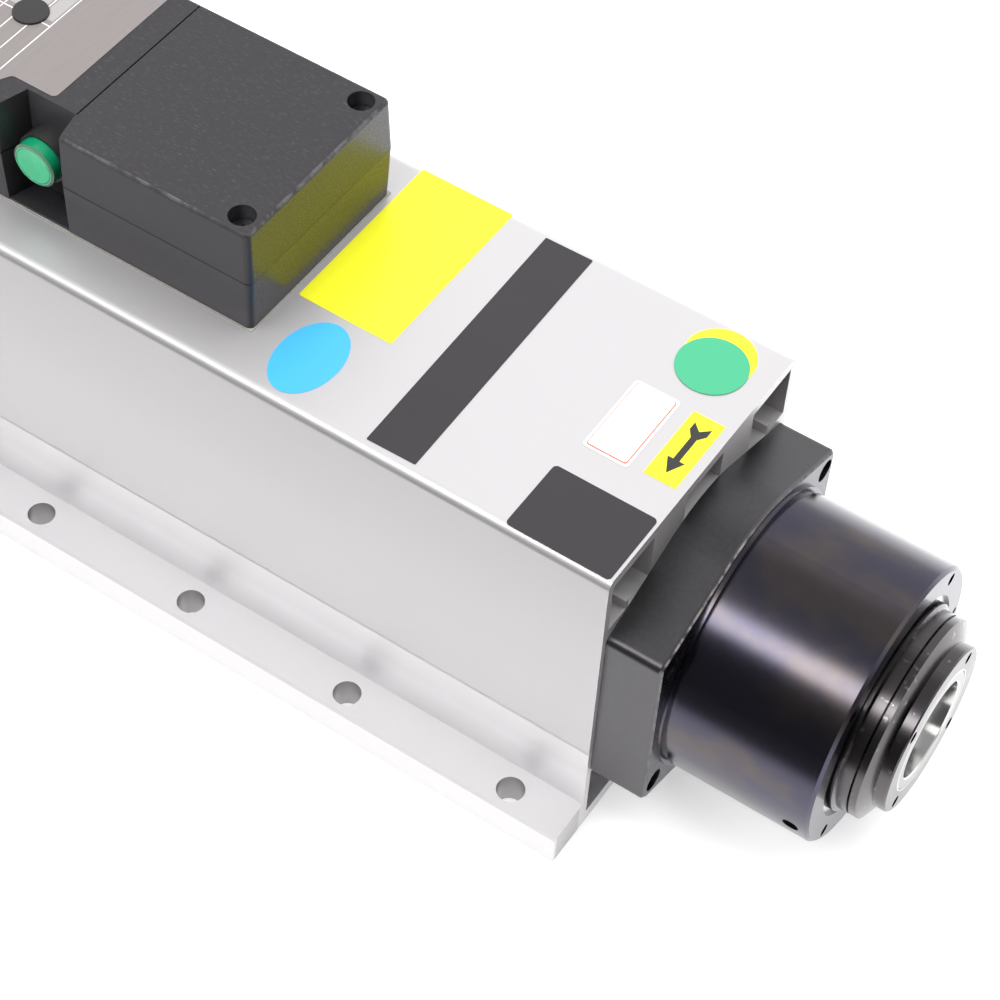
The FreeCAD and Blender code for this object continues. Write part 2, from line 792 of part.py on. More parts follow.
def make_nose_ring():
    bore = "shaft_nose_radius + fit_gap"
    inner_land = "(front_bearing_bore + front_bearing_outer) / 2 - race_land"
    ring_back = f"({CYLINDER_FACE} + collar_reach + nose_gap)"
    body = turned_body("nose_ring", [[
        (SEAL_SEAT, bore),
        (SEAL_SEAT, f"{inner_land} - edge_break"),
        (f"{SEAL_SEAT} + edge_break", f"{inner_land} - edge_break"),
        (f"{SEAL_SEAT} + edge_break", "labyrinth_radius"),
        (ring_back, "labyrinth_radius"),
        (ring_back, "collar_radius"),
        (f"{CYLINDER_FACE} + ring_edge_reach", "collar_radius"),
        (f"{CYLINDER_FACE} + ring_cone_reach", "nose_disc_radius"),
        (f"{NOSE_FACE} - nose_ring_chamfer", "nose_disc_radius"),
        (NOSE_FACE, "nose_disc_radius - nose_ring_chamfer"),
        (NOSE_FACE, bore),
    ]])
    holes = new_sketch(body, "spanner_holes", "YZ_Plane", NOSE_FACE)
    for angle in (45, 135, 225, 315):
        draw_circle(
            holes,
            f"spanner_hole_circle * sin({angle})",
            f"spanner_hole_circle * cos({angle})",
            "spanner_hole_radius",
        )
    pocket(body, holes, "spanner_hole_depth")


def make_spindle_shaft():
    rotor_front = "motor_length / 2"
    taper_foot = "taper_radius - taper_length * 7 / 48"
    locknut_rear = f"({REAR_STACK_END} - locknut_length)"
    turned_body("spindle_shaft", [[
        (NOSE_FACE, "taper_radius + taper_mouth_chamfer"),
        (NOSE_FACE, "shaft_nose_radius - taper_mouth_chamfer"),
        (f"{NOSE_FACE} - taper_mouth_chamfer", "shaft_nose_radius"),
        (SEAL_SEAT, "shaft_nose_radius"),
        (SEAL_SEAT, "front_bearing_bore - fit_gap"),
        (FRONT_SHOULDER, "front_bearing_bore - fit_gap"),
        (FRONT_SHOULDER, "shaft_collar_radius - edge_break"),
        (f"{FRONT_SHOULDER} - edge_break", "shaft_collar_radius"),
        (f"{FRONT_SHOULDER} - shaft_collar_length", "shaft_collar_radius"),
        (f"{FRONT_SHOULDER} - shaft_collar_length", "shaft_front_radius"),
        (rotor_front, "shaft_front_radius"),
        (rotor_front, "rotor_seat_radius"),
        (REAR_SHOULDER, "rotor_seat_radius - edge_break"),
        (REAR_SHOULDER, "rear_bearing_bore - fit_gap"),
        (locknut_rear, "rear_bearing_bore - fit_gap"),
        (locknut_rear, "shaft_tail_radius"),
        (SHAFT_END, "shaft_tail_radius"),
        (SHAFT_END, "spring_bore_radius"),
        ("spring_bore_start", "spring_bore_radius"),
        ("spring_bore_start", "rod_bore_radius"),
        (GUIDE_REAR, "rod_bore_radius"),
        (GUIDE_REAR, "rod_radius + slide_clearance"),
        (GUIDE_FRONT, "rod_radius + slide_clearance"),
        (GUIDE_FRONT, "gripper_bore_radius"),
        (RECESS_REAR, "gripper_bore_radius"),
        (RECESS_REAR, "gripper_recess_radius"),
        (RECESS_FRONT, "gripper_recess_radius"),
        (RECESS_FRONT, "stud_bore_radius"),
        (TAPER_END, "stud_bore_radius"),
        (TAPER_END, taper_foot),
        (f"{NOSE_FACE} - taper_mouth_chamfer", "taper_radius - taper_mouth_chamfer * 7 / 48"),
    ]])


# Bearings

def make_bearing_pair(place, start, towards):
    """Two angular contact bearings side by side: rings, balls and cages.

    place is front or rear, start the stack's first face, towards + or - along X.
    """
    bore = f"{place}_bearing_bore"
    outer = f"{place}_bearing_outer"
    width = f"{place}_bearing_width"
    ball = f"{place}_ball_radius"
    count = f"{place}_ball_count"
    pitch = f"({bore} + {outer}) / 2"
    groove = f"({ball} + race_clearance)"
    half_mouth = f"sqrt({groove} ^ 2 - race_land ^ 2)"
    half = f"({width} - fit_gap) / 2"
    middles = [f"({start} {towards} {width} * {step})" for step in ("0.5", "1.5")]

    outer_rings = new_body(f"{place}_bearing_outer_rings", several=True)
    profile = new_sketch(outer_rings, f"{place}_outer_ring_profile", "XZ_Plane")
    for middle in middles:
        ring = [
            (f"{middle} - {half}", outer),
            (f"{middle} - {half}", f"{pitch} + race_land"),
            (f"{middle} - {half_mouth}", f"{pitch} + race_land"),
            (f"{middle} + {half_mouth}", f"{pitch} + race_land"),
            (f"{middle} + {half}", f"{pitch} + race_land"),
            (f"{middle} + {half}", outer),
        ]
        draw_loop(profile, [(x, f"{r} - fit_gap" if r == outer else r) for x, r in ring],
                  {2: (groove, False)})
    turn(outer_rings, profile)

    inner_rings = new_body(f"{place}_bearing_inner_rings", several=True)
    profile = new_sketch(inner_rings, f"{place}_inner_ring_profile", "XZ_Plane")
    for middle in middles:
        draw_loop(profile, [
            (f"{middle} - {half}", bore),
            (f"{middle} - {half}", f"{pitch} - race_land"),
            (f"{middle} - {half_mouth}", f"{pitch} - race_land"),
            (f"{middle} + {half_mouth}", f"{pitch} - race_land"),
            (f"{middle} + {half}", f"{pitch} - race_land"),
            (f"{middle} + {half}", bore),
        ], {2: (groove, True)})
    turn(inner_rings, profile)

    cages = new_body(f"{place}_bearing_cages", several=True)
    profile = new_sketch(cages, f"{place}_cage_profile", "XZ_Plane")
    pockets = new_sketch(cages, f"{place}_cage_pockets", "XY_Plane")
    for middle in middles:
        reach = f"({width} / 2 - cage_side_gap)"
        draw_box(profile, f"{middle} - {reach}", f"{middle} + {reach}",
                 f"{pitch} - cage_thickness / 2", f"{pitch} + cage_thickness / 2")
        draw_circle(pockets, middle, "0", groove)
    turn(cages, profile)
    holes = add_feature(cages, "Pocket", pockets, Type="Length", Reversed=True)
    bind(holes, "Length", outer)
    doc.recompute()
    around_axis(cages, holes, count)

    balls = new_body(f"{place}_bearing_balls", several=True)
    for middle, name in zip(middles, ("first", "second")):
        sphere = balls.newObject("PartDesign::AdditiveSphere", f"{place}_{name}_ball")
        bind(sphere, "Radius", ball)
        bind(sphere, "Placement.Base.x", middle)
        bind(sphere, "Placement.Base.z", pitch)
        doc.recompute()
        around_axis(balls, sphere, count)


def make_bearing_locknut():
    body = turned_body("bearing_locknut", [[
        (f"{REAR_STACK_END} - locknut_length", "rear_bearing_bore"),
        (f"{REAR_STACK_END} - locknut_length", "locknut_radius"),
        (f"{REAR_STACK_END} - locknut_bevel", "locknut_radius"),
        (REAR_STACK_END, "rear_bearing_bore + locknut_foot"),
        (REAR_STACK_END, "rear_bearing_bore"),
    ]])
    slot = new_sketch(body, "locknut_slot", "YZ_Plane", REAR_STACK_END)
    draw_box(slot, "-locknut_slot_width / 2", "locknut_slot_width / 2",
             "locknut_radius - locknut_slot_depth", f"locknut_radius + {PAST}")
    around_axis(body, pocket(body, slot, "locknut_length"), "4")


# Motor

def make_rotor():
    half = "motor_length / 2"
    bore = "rotor_seat_radius + fit_gap"
    turned_body("rotor_core", [[
        (f"-{half}", bore), (f"-{half}", "rotor_radius"), (half, "rotor_radius"), (half, bore),
    ]])
    rings = []
    for side in ("", "-"):
        rings.append([
            (f"{side}({half})", "shaft_front_radius + end_ring_gap"),
            (f"{side}({half})", "rotor_radius - end_ring_step"),
            (f"{side}({half} + end_ring_length)", "rotor_radius - 2 * end_ring_step"),
            (f"{side}({half} + end_ring_length)", "shaft_front_radius + end_ring_gap"),
        ])
    turned_body("rotor_end_rings", rings, several=True)


def make_stator():
    half = "motor_length / 2"
    bore = "rotor_radius + air_gap"
    rim = "tube_bore_radius - fit_gap"
    turned_body("stator_core", [[(f"-{half}", bore), (f"-{half}", rim), (half, rim), (half, bore)]])
    ends = []
    for side in ("", "-"):
        ends.append([
            (f"{side}({half})", "winding_inner"),
            (f"{side}({half})", "winding_outer"),
            (f"{side}({half} + winding_length - winding_bevel)", "winding_outer"),
            (f"{side}({half} + winding_length)", "winding_outer - winding_bevel"),
            (f"{side}({half} + winding_length)", "winding_inner + winding_bevel"),
            (f"{side}({half} + winding_length - winding_bevel)", "winding_inner"),
        ])
    turned_body("stator_winding_ends", ends, several=True)


# Tool clamp inside the shaft

def make_tool_clamp():
    tips = f"({RECESS_REAR} - gripper_setback)"
    root = f"({tips} - gripper_length)"
    thread_end = f"({tips} - gripper_cup_depth - drawbar_end_gap)"
    lip_rear = f"({tips} - edge_break - gripper_lip_length)"
    nut_rear = f"({SHAFT_END} + drawbar_nut_inset)"
    nut_front = f"({nut_rear} + drawbar_nut_length)"
    turned_body("drawbar", [[
        (DRAWBAR_END, "0"),
        (DRAWBAR_END, "rod_radius - fine_edge_break"),
        (f"{DRAWBAR_END} + fine_edge_break", "rod_radius"),
        (thread_end, "rod_radius"),
        (thread_end, "0"),
    ]])
    gripper = turned_body("tool_gripper", [[
        (root, "rod_radius + fit_gap"),
        (root, "gripper_radius"),
        (tips, "gripper_radius"),
        (tips, "gripper_inner - gripper_lip + edge_break"),
        (f"{tips} - edge_break", "gripper_inner - gripper_lip"),
        (lip_rear, "gripper_inner - gripper_lip"),
        (f"{lip_rear} - gripper_lip", "gripper_inner"),
        (f"{tips} - gripper_cup_depth", "gripper_inner"),
        (f"{tips} - gripper_cup_depth", "rod_radius + fit_gap"),
    ]])
    slot = new_sketch(gripper, "gripper_slots", "XY_Plane")
    draw_box(slot, f"{tips} - gripper_cup_depth", f"{tips} + {PAST}",
             "-gripper_slot / 2", "gripper_slot / 2")
    around_axis(gripper, pocket(gripper, slot), "2")
    turned_body("drawbar_nut", [[
        (nut_rear, "rod_radius + fit_gap"),
        (nut_rear, "spring_bore_radius - slide_clearance - edge_break"),
        (f"{nut_rear} + edge_break", "spring_bore_radius - slide_clearance"),
        (nut_front, "spring_bore_radius - slide_clearance"),
        (nut_front, "rod_radius + fit_gap"),
    ]])
    discs = []
    count = int(number("disc_count"))
    pitch = f"((spring_bore_start - {nut_front} - disc_gap) / disc_count)"
    cone = f"({pitch} - disc_thickness - disc_gap)"
    for place in range(count):
        low = f"{nut_front} + disc_gap + {pitch} * {place}"
        inner, outer = ("disc_bore_radius", "disc_radius")
        if place % 2:
            inner, outer = outer, inner
        discs.append([
            (low, inner),
            (f"{low} + disc_thickness", inner),
            (f"{low} + disc_thickness + {cone}", outer),
            (f"{low} + {cone}", outer),
        ])
    turned_body("disc_springs", discs, several=True)


# Rear bearing housing

REAR_PLATE_SIDE = "(body_width / 2 - cowl_wall - fit_gap)"


def make_rear_bearing_housing():
    body = new_body("rear_bearing_housing")
    plate = new_sketch(body, "rear_plate", "YZ_Plane", BODY_REAR)
    draw_arched_plate(plate, REAR_PLATE_SIDE)
    pad(body, plate, "rear_plate_thickness", reverse=True)
    round_plate_corners(body, REAR_PLATE_SIDE)
    hub_end = f"({REAR_SHOULDER} + rear_shoulder_length)"
    shoulder = "rear_bearing_outer - bearing_shoulder"
    profile = new_sketch(body, "rear_hub", "XZ_Plane")
    draw_loop(profile, [
        (f"{BODY_REAR} - rear_plate_thickness / 2", "rear_bearing_outer"),
        (f"{BODY_REAR} - rear_plate_thickness / 2", "tube_bore_radius - fit_gap"),
        (hub_end, "tube_bore_radius - fit_gap"),
        (hub_end, shoulder),
        (REAR_SHOULDER, shoulder),
        (REAR_SHOULDER, "rear_bearing_outer"),
    ])
    turn(body, profile)
    bore = new_sketch(body, "rear_bearing_bore_cut", "YZ_Plane", REAR_PLATE_BACK)
    draw_circle(bore, "0", "0", "rear_bearing_outer")
    pocket(body, bore, "rear_plate_thickness", reverse=True)
    screws = new_sketch(body, "rear_screw_holes", "YZ_Plane", REAR_PLATE_BACK)
    for y, z in corner_places("plate_screw_side", "plate_screw_rise"):
        draw_circle(screws, y, z, "m4_shank + screw_clearance")
    pocket(body, screws, "rear_plate_thickness", reverse=True)
    heads = new_sketch(body, "rear_screw_heads", "YZ_Plane", REAR_PLATE_BACK)
    for y, z in corner_places("plate_screw_side", "plate_screw_rise"):
        draw_circle(heads, y, z, "m4_head + head_clearance")
    pocket(body, heads, "rear_plate_thickness - rear_screw_seat", reverse=True)
    barrel = new_sketch(body, "barrel_screw_holes", "YZ_Plane", REAR_PLATE_BACK)
    for y, z in barrel_screw_places():
        draw_circle(barrel, y, z, "m4_shank + fit_gap")
    pocket(body, barrel, "m4_length", reverse=True)
    cowl = new_sketch(body, "cowl_screw_holes", "XZ_Plane")
    for rise in ("cowl_screw_rise", "-cowl_screw_rise"):
        draw_circle(cowl, f"{BODY_REAR} - rear_plate_thickness / 2", rise, "m4_shank + fit_gap")
    pocket(body, cowl)


def barrel_screw_places():
    """Four places on the barrel's screw circle."""
    return [
        (f"cap_screw_circle * sin({angle})", f"cap_screw_circle * cos({angle})")
        for angle in (45, 135, 225, 315)
    ]


# Pneumatic tool release

def make_release_cylinder():
    body = turned_body("release_cylinder", [[
        (REAR_STACK_END, "barrel_pocket_radius"),
        (REAR_STACK_END, "rear_bearing_outer - fit_gap"),
        (REAR_PLATE_BACK, "rear_bearing_outer - fit_gap"),
        (REAR_PLATE_BACK, "barrel_radius"),
        (BARREL_END, "barrel_radius"),
        (BARREL_END, "cylinder_bore_radius"),
        (PISTON_BORE_FRONT, "cylinder_bore_radius"),
        (PISTON_BORE_FRONT, "push_rod_radius + slide_clearance"),
        (POCKET_END, "push_rod_radius + slide_clearance"),
        (POCKET_END, "barrel_pocket_radius"),
    ]])
    holes = new_sketch(body, "barrel_screw_bores", "YZ_Plane", BARREL_END)
    for y, z in barrel_screw_places():
        draw_circle(holes, y, z, "m4_shank + screw_clearance")
    pocket(body, holes)
    cut_port(body, "cylinder_ports", port_places()[:2])


def port_places():
    """Bearing air, piston return and piston push, from front to rear."""
    return [
        f"{REAR_PLATE_BACK} - bearing_port_setback",
        f"{PISTON_BORE_FRONT} - port_radius - port_wall",
        f"({BARREL_END} + {CAP_END}) / 2",
    ]


def cut_port(body, name, places):
    ports = new_sketch(body, name, "XZ_Plane", "-barrel_radius")
    for place in places:
        draw_circle(ports, place, "0", "port_radius + fit_gap")
    pocket(body, ports, "port_depth + port_spare_depth", reverse=True)


def make_release_piston():
    rim = "cylinder_bore_radius - slide_clearance"
    groove = "cylinder_bore_radius - seal_groove_depth"
    middle = f"(({PISTON_FRONT} + {PISTON_REAR}) / 2)"
    turned_body("release_piston", [[
        (PISTON_REAR, "0"),
        (PISTON_REAR, rim),
        (f"{middle} - seal_groove_width / 2", rim),
        (f"{middle} - seal_groove_width / 2", groove),
        (f"{middle} + seal_groove_width / 2", groove),
        (f"{middle} + seal_groove_width / 2", rim),
        (PISTON_FRONT, rim),
        (PISTON_FRONT, "push_rod_radius"),
        (f"{DRAWBAR_END} - push_gap", "push_rod_radius"),
        (f"{DRAWBAR_END} - push_gap", "0"),
    ]])
    turned_body("piston_seal", [[
        (f"{middle} - seal_groove_width / 2 + fit_gap", f"{groove} + fit_gap"),
        (f"{middle} - seal_groove_width / 2 + fit_gap", "cylinder_bore_radius - fit_gap"),
        (f"{middle} + seal_groove_width / 2 - fit_gap", "cylinder_bore_radius - fit_gap"),
        (f"{middle} + seal_groove_width / 2 - fit_gap", f"{groove} + fit_gap"),
    ]])


def make_cylinder_cap():
    spigot = "cylinder_bore_radius - fit_gap"
    body = turned_body("cylinder_cap", [[
        (f"{BARREL_END} + cap_spigot", "0"),
        (f"{BARREL_END} + cap_spigot", spigot),
        (BARREL_END, spigot),
        (BARREL_END, "barrel_radius"),
        (CAP_END, "barrel_radius"),
        (CAP_END, "0"),
    ]])
    holes = new_sketch(body, "cap_screw_bores", "YZ_Plane", CAP_END)
    for y, z in barrel_screw_places():
        draw_circle(holes, y, z, "m4_shank + screw_clearance")
    pocket(body, holes)
    cut_port(body, "cap_port", port_places()[2:])


def make_air_fittings():
    """Three push-in fittings, which point to +Y through the cowl."""
    seat = number("barrel_radius")
    stem = number("port_radius")
    depth = number("port_depth")
    hex_radius = number("fitting_hex_radius")
    hex_length = number("fitting_hex_length")
    sleeve = number("fitting_sleeve_radius")
    gap = number("fitting_foot_gap")
    sleeve_length = number("body_width / 2 + fitting_reach") - seat - gap - hex_length
    outward = Vector(0, 1, 0)
    fittings = []
    for place in port_places():
        foot = Vector(number(place), seat, number("axis_height"))
        body = Part.makeCylinder(stem, depth + 1, foot - outward * depth, outward)
        hexagon = Part.makePolygon([
            Rotation(outward, 60 * corner).multVec(Vector(hex_radius, 0, 0)) for corner in range(7)
        ])
        hexagon.translate(foot + outward * gap)
        nut = Part.Face(hexagon).extrude(outward * hex_length)
        top = foot + outward * (gap + hex_length)
        tube = Part.makeCylinder(sleeve, sleeve_length, top, outward)
        mouth = top + outward * sleeve_length
        hose = Part.makeCylinder(number("hose_radius"), number("hose_depth"), mouth, -outward)
        fittings.append(body.fuse([nut, tube]).cut(hose).removeSplitter())
    return new_feature("air_fittings", Part.makeCompound(fittings))


# Rear cowl and fan

def make_rear_cowl():
    body = new_body("rear_cowl")
    side = "body_width / 2"
    top = "body_height - axis_height"
    bottom = "cowl_lift - axis_height"
    shell = new_sketch(body, "cowl_outline", "YZ_Plane", BODY_REAR)
    draw_box(shell, f"-{side}", side, bottom, top)
    pad(body, shell, "cowl_length", reverse=True)
    dress_edges(body, "Fillet", "cowl_corner_radius",
                lambda edge: runs_along(edge, Vector(1, 0, 0)))
    inside = new_sketch(body, "cowl_inside", "YZ_Plane", BODY_REAR)
    draw_box(inside, f"-({side} - cowl_wall)", f"{side} - cowl_wall",
             f"{bottom} + cowl_wall", f"{top} - cowl_wall")
    pocket(body, inside, "cowl_length - cowl_wall")
    mouth = new_sketch(body, "fan_mouth", "YZ_Plane", COWL_END)
    draw_circle(mouth, "0", "0", "fan_bore_radius")
    for y, z in corner_places("fan_hole_half_spacing", "fan_hole_half_spacing"):
        draw_circle(mouth, y, z, "m4_shank + fit_gap")
    pocket(body, mouth, f"cowl_wall + {PAST}", reverse=True)
    screws = new_sketch(body, "cowl_screw_clearances", "XZ_Plane")
    for rise in ("cowl_screw_rise", "-cowl_screw_rise"):
        draw_circle(screws, f"{BODY_REAR} - rear_plate_thickness / 2", rise,
                    "m4_shank + screw_clearance")
    pocket(body, screws)
    fittings = new_sketch(body, "fitting_clearances", "XZ_Plane", "-body_width / 2")
    for place in port_places():
        draw_circle(fittings, place, "0", "fitting_hole_radius")
    pocket(body, fittings, f"cowl_wall + {PAST}", reverse=True)


def make_fan_frame():
    body = new_body("fan_frame")
    half = "fan_size / 2"
    frame = new_sketch(body, "fan_outline", "YZ_Plane", COWL_END)
    draw_box(frame, f"-{half}", half, f"-{half}", half)
    pad(body, frame, "fan_depth", reverse=True)
    dress_edges(body, "Fillet", "fan_corner_radius",
                lambda edge: runs_along(edge, Vector(1, 0, 0)))
    bore = new_sketch(body, "fan_bore", "YZ_Plane", COWL_END)
    draw_circle(bore, "0", "0", "fan_bore_radius")
    for y, z in corner_places("fan_hole_half_spacing", "fan_hole_half_spacing"):
        draw_circle(bore, y, z, "m4_shank + screw_clearance")
    pocket(body, bore)
    spider = new_sketch(body, "fan_spider", "YZ_Plane", COWL_END)
    reach = "((fan_bore_radius + fan_size / 2) / 2)"
    root = "sqrt(fan_hub_radius ^ 2 - (fan_strut_width / 2) ^ 2)"
    arm = "fan_strut_width / 2"
    points = [
        (arm, root), (arm, reach), (f"-{arm}", reach), (f"-{arm}", root),
        (f"-{root}", arm), (f"-{reach}", arm), (f"-{reach}", f"-{arm}"), (f"-{root}", f"-{arm}"),
        (f"-{arm}", f"-{root}"), (f"-{arm}", f"-{reach}"), (arm, f"-{reach}"), (arm, f"-{root}"),
        (root, f"-{arm}"), (reach, f"-{arm}"), (reach, arm), (root, arm),
    ]
    hub_arc = ("fan_hub_radius", True)
    draw_loop(spider, points, {3: hub_arc, 7: hub_arc, 11: hub_arc, 15: hub_arc})
    draw_circle(spider, "0", "0", "fan_pin_radius + slide_clearance")
    pad(body, spider, "fan_strut_thickness", reverse=True)


def make_fan_rotor():
    """A hub on its pin, with twisted blades, each lofted out and turned down at its tip."""
    front = f"({COWL_END} - fan_strut_thickness - fan_side_gap)"
    rear = f"({FAN_END} + fan_side_gap)"
    body = turned_body("fan_rotor", [[
        (COWL_END, "0"),
        (COWL_END, "fan_pin_radius"),
        (front, "fan_pin_radius"),
        (front, "fan_hub_radius - edge_break"),
        (f"{front} - edge_break", "fan_hub_radius"),
        (f"{rear} + edge_break", "fan_hub_radius"),
        (rear, "fan_hub_radius - edge_break"),
        (rear, "0"),
    ]])
    middle = f"({front} + {rear}) / 2"
    sections = []
    blade = (
        ("root", "(fan_hub_radius - blade_thickness)"),
        ("middle", "((fan_hub_radius + fan_bore_radius) / 2)"),
        ("tip", "fan_bore_radius"),
    )
    for name, radius in blade:
        half_chord = f"blade_{name}_chord / 2"
        half_sweep = f"blade_{name}_sweep / 2"
        sketch = new_sketch(body, f"blade_{name}", "XY_Plane", radius)
        draw_loop(sketch, [
            (f"{middle} - {half_chord}", f"-{half_sweep}"),
            (f"{middle} - {half_chord} + blade_thickness", f"-{half_sweep}"),
            (f"{middle} + {half_chord}", half_sweep),
            (f"{middle} + {half_chord} - blade_thickness", half_sweep),
        ])
        sections.append(sketch)
    loft = body.newObject("PartDesign::AdditiveLoft", "fan_blade")
    loft.Profile = sections[0]
    loft.Sections = sections[1:]
    doc.recompute()
    around_axis(body, loft, "fan_blade_count")
    tips = new_sketch(body, "blade_tips", "XZ_Plane")
    draw_box(tips, FAN_END, COWL_END,
             "fan_bore_radius - fan_tip_gap", "fan_bore_radius + blade_tip_sweep")
    turn(body, tips, "Groove")


def make_fan_grille():
    """A moulded guard: round bars on ribs, with an ear at each fan screw."""
    body = new_body("fan_grille")
    plate = new_sketch(body, "grille_core", "YZ_Plane", FAN_END)
    draw_circle(plate, "0", "0", "grille_core_radius")
    pad(body, plate, "grille_thickness", reverse=True)
    rim = "fan_bore_radius"
    arm = "grille_rib_width / 2"
    for turned, name in ((0, "upright"), (1, "level")):
        rib = new_sketch(body, f"grille_rib_{name}", "YZ_Plane", FAN_END)
        ends = (f"-{arm}", arm, f"-({rim})", rim)
        draw_box(rib, *(ends if turned else ends[2:] + ends[:2]))
        pad(body, rib, "grille_thickness", reverse=True)
    bars = new_sketch(body, "grille_bars", "XZ_Plane")
    for bar in range(int(number("grille_ring_count"))):
        inner = f"fan_bore_radius - grille_rim_inset - grille_ring_pitch * {bar}"
        draw_box(bars, GRILLE_END, FAN_END, inner, f"{inner} + grille_ring_width")
    turn(body, bars)
    arms = new_sketch(body, "grille_arms", "YZ_Plane", FAN_END)
    near = "((fan_bore_radius - grille_ring_width / 2) / sqrt(2))"
    far = "fan_hole_half_spacing"
    arm = "grille_arm_width / 2 / sqrt(2)"
    for y_sign, z_sign in (("", ""), ("-", ""), ("-", "-"), ("", "-")):
        draw_loop(arms, [
            (f"{y_sign}({near} - {arm})", f"{z_sign}({near} + {arm})"),
            (f"{y_sign}({near} + {arm})", f"{z_sign}({near} - {arm})"),
            (f"{y_sign}({far} + {arm})", f"{z_sign}({far} - {arm})"),
            (f"{y_sign}({far} - {arm})", f"{z_sign}({far} + {arm})"),
        ])
    pad(body, arms, "grille_thickness", reverse=True)
    ears = new_sketch(body, "grille_ears", "YZ_Plane", FAN_END)
    for y, z in corner_places("fan_hole_half_spacing", "fan_hole_half_spacing"):
        draw_circle(ears, y, z, "m4_head + grille_ear_margin")
    pad(body, ears, "grille_thickness", reverse=True)
    holes = new_sketch(body, "grille_holes", "YZ_Plane", FAN_END)
    for y, z in corner_places("fan_hole_half_spacing", "fan_hole_half_spacing"):
        draw_circle(holes, y, z, "m4_shank + screw_clearance")
    pocket(body, holes)


# Terminal box

BOX_LOW = "(box_middle - box_half_width)"
BOX_HIGH = "(box_middle + box_half_width)"
NOTCH_BACK = "(box_middle - box_half_width + notch_depth)"
NOTCH_MIDDLE = "((notch_left + lid_split) / 2)"
SPREAD = "(box_seam_height * tan(box_draft))"


def box_outline(front, rear, low, high, inset="0", notched=True):
    """The box seen from above: a rectangle with a flared notch in its -Y side."""
    corners = [
        (rear, f"{low} + {inset}"),
        (f"notch_left - notch_rear_flare - {inset}", f"{low} + {inset}"),
        (f"notch_left - {inset}", f"{NOTCH_BACK} + {inset}"),
        (f"lid_split + {inset}", f"{NOTCH_BACK} + {inset}"),
        (f"lid_split + notch_front_flare + {inset}", f"{low} + {inset}"),
        (front, f"{low} + {inset}"),
        (front, f"{high} - {inset}"),
        (rear, f"{high} - {inset}"),
    ]
    if notched:
        return corners
    return [corners[0], corners[5], corners[6], corners[7]]


def make_terminal_box_base():
    body = new_body("terminal_box_base")
    outline = new_sketch(body, "base_outline", "XY_Plane", BOX_BOTTOM)
    draw_loop(outline, box_outline("box_front", "box_rear", BOX_LOW, BOX_HIGH, notched=False))
    pad(body, outline, "box_seam_height", taper="box_draft")
    round_box_corners(body)
    cut_notch(body)
    inside = new_sketch(body, "base_inside", "XY_Plane", f"{BOX_BOTTOM} + box_seam_height")
    draw_loop(inside, box_outline("box_front - box_wall", "box_rear + box_wall",
                                  BOX_LOW, BOX_HIGH, "box_wall"))
    pocket(body, inside, "box_seam_height - box_floor")
    add_screw_posts(body, "base_posts", f"{BOX_BOTTOM} + box_floor",
                    "box_seam_height - box_floor")
    screws = new_sketch(body, "base_screw_holes", "XY_Plane", f"{BOX_BOTTOM} + box_seam_height")
    for x, y in lid_screw_places():
        draw_circle(screws, x, y, "m4_shank + fit_gap")
    pocket(body, screws, "m4_length")
    cut_collar_hole(body)
    cut_connector_holes(body)
    return body


def round_box_corners(body):
    def upright(edge):
        box = edge.BoundBox
        return box.ZLength > 10 and box.XLength < 3 and box.YLength < 3

    dress_edges(body, "Fillet", "box_corner_radius", upright)


def cut_notch(body):
    """The notch runs through the full height, wider than the box's draft."""
    notch = new_sketch(body, f"{body.Name}_notch", "XY_Plane", BOX_BOTTOM)
    outside = f"({BOX_LOW} - {SPREAD} - {PAST})"
    depth = f"(({NOTCH_BACK} - {outside}) / notch_depth)"
    draw_loop(notch, [
        ("notch_left", NOTCH_BACK),
        (f"notch_left - notch_rear_flare * {depth}", outside),
        (f"lid_split + notch_front_flare * {depth}", outside),
        ("lid_split", NOTCH_BACK),
    ])
    pocket(body, notch)


def lid_screw_places():
    """Two screws at the front lid's front corners and two at the rear lid's rear corners."""
    low, high = f"{BOX_LOW} + lid_screw_inset", f"{BOX_HIGH} - lid_screw_inset"
    front, rear = "box_front - lid_screw_setback", "box_rear + lid_screw_setback"
    return [(front, low), (front, high), (rear, low), (rear, high)]


def add_screw_posts(body, name, start, length, places=None):
    posts = new_sketch(body, name, "XY_Plane", start)
    for x, y in places or lid_screw_places():
        draw_circle(posts, x, y, "lid_boss_radius")
    pad(body, posts, length)


def cut_collar_hole(body):
    hole = new_sketch(body, f"{body.Name}_collar_hole", "XZ_Plane", f"{PAST} - ({NOTCH_BACK})")
    draw_circle(hole, "button_place", f"{BOX_BOTTOM} + box_seam_height",
                "button_radius + collar_clearance + collar_wall + fit_gap")
    pocket(body, hole, f"box_wall + 2 * {PAST}")


def connector_places():
    height = f"{BOX_BOTTOM} + connector_rise"
    return [
        ("power_connector", f"box_middle + power_connector_side", height),
        ("signal_connector", f"box_middle + signal_connector_side", height),
    ]


def cut_connector_holes(body):
    outside = f"box_rear - {SPREAD} - {PAST}"
    holes = new_sketch(body, f"{body.Name}_connector_holes", "YZ_Plane", outside)
    for name, y, z in connector_places():
        draw_circle(holes, y, z, f"{name}_radius - connector_wall + fit_gap")
    pocket(body, holes, f"box_wall + {SPREAD} + 2 * {PAST}", reverse=True)


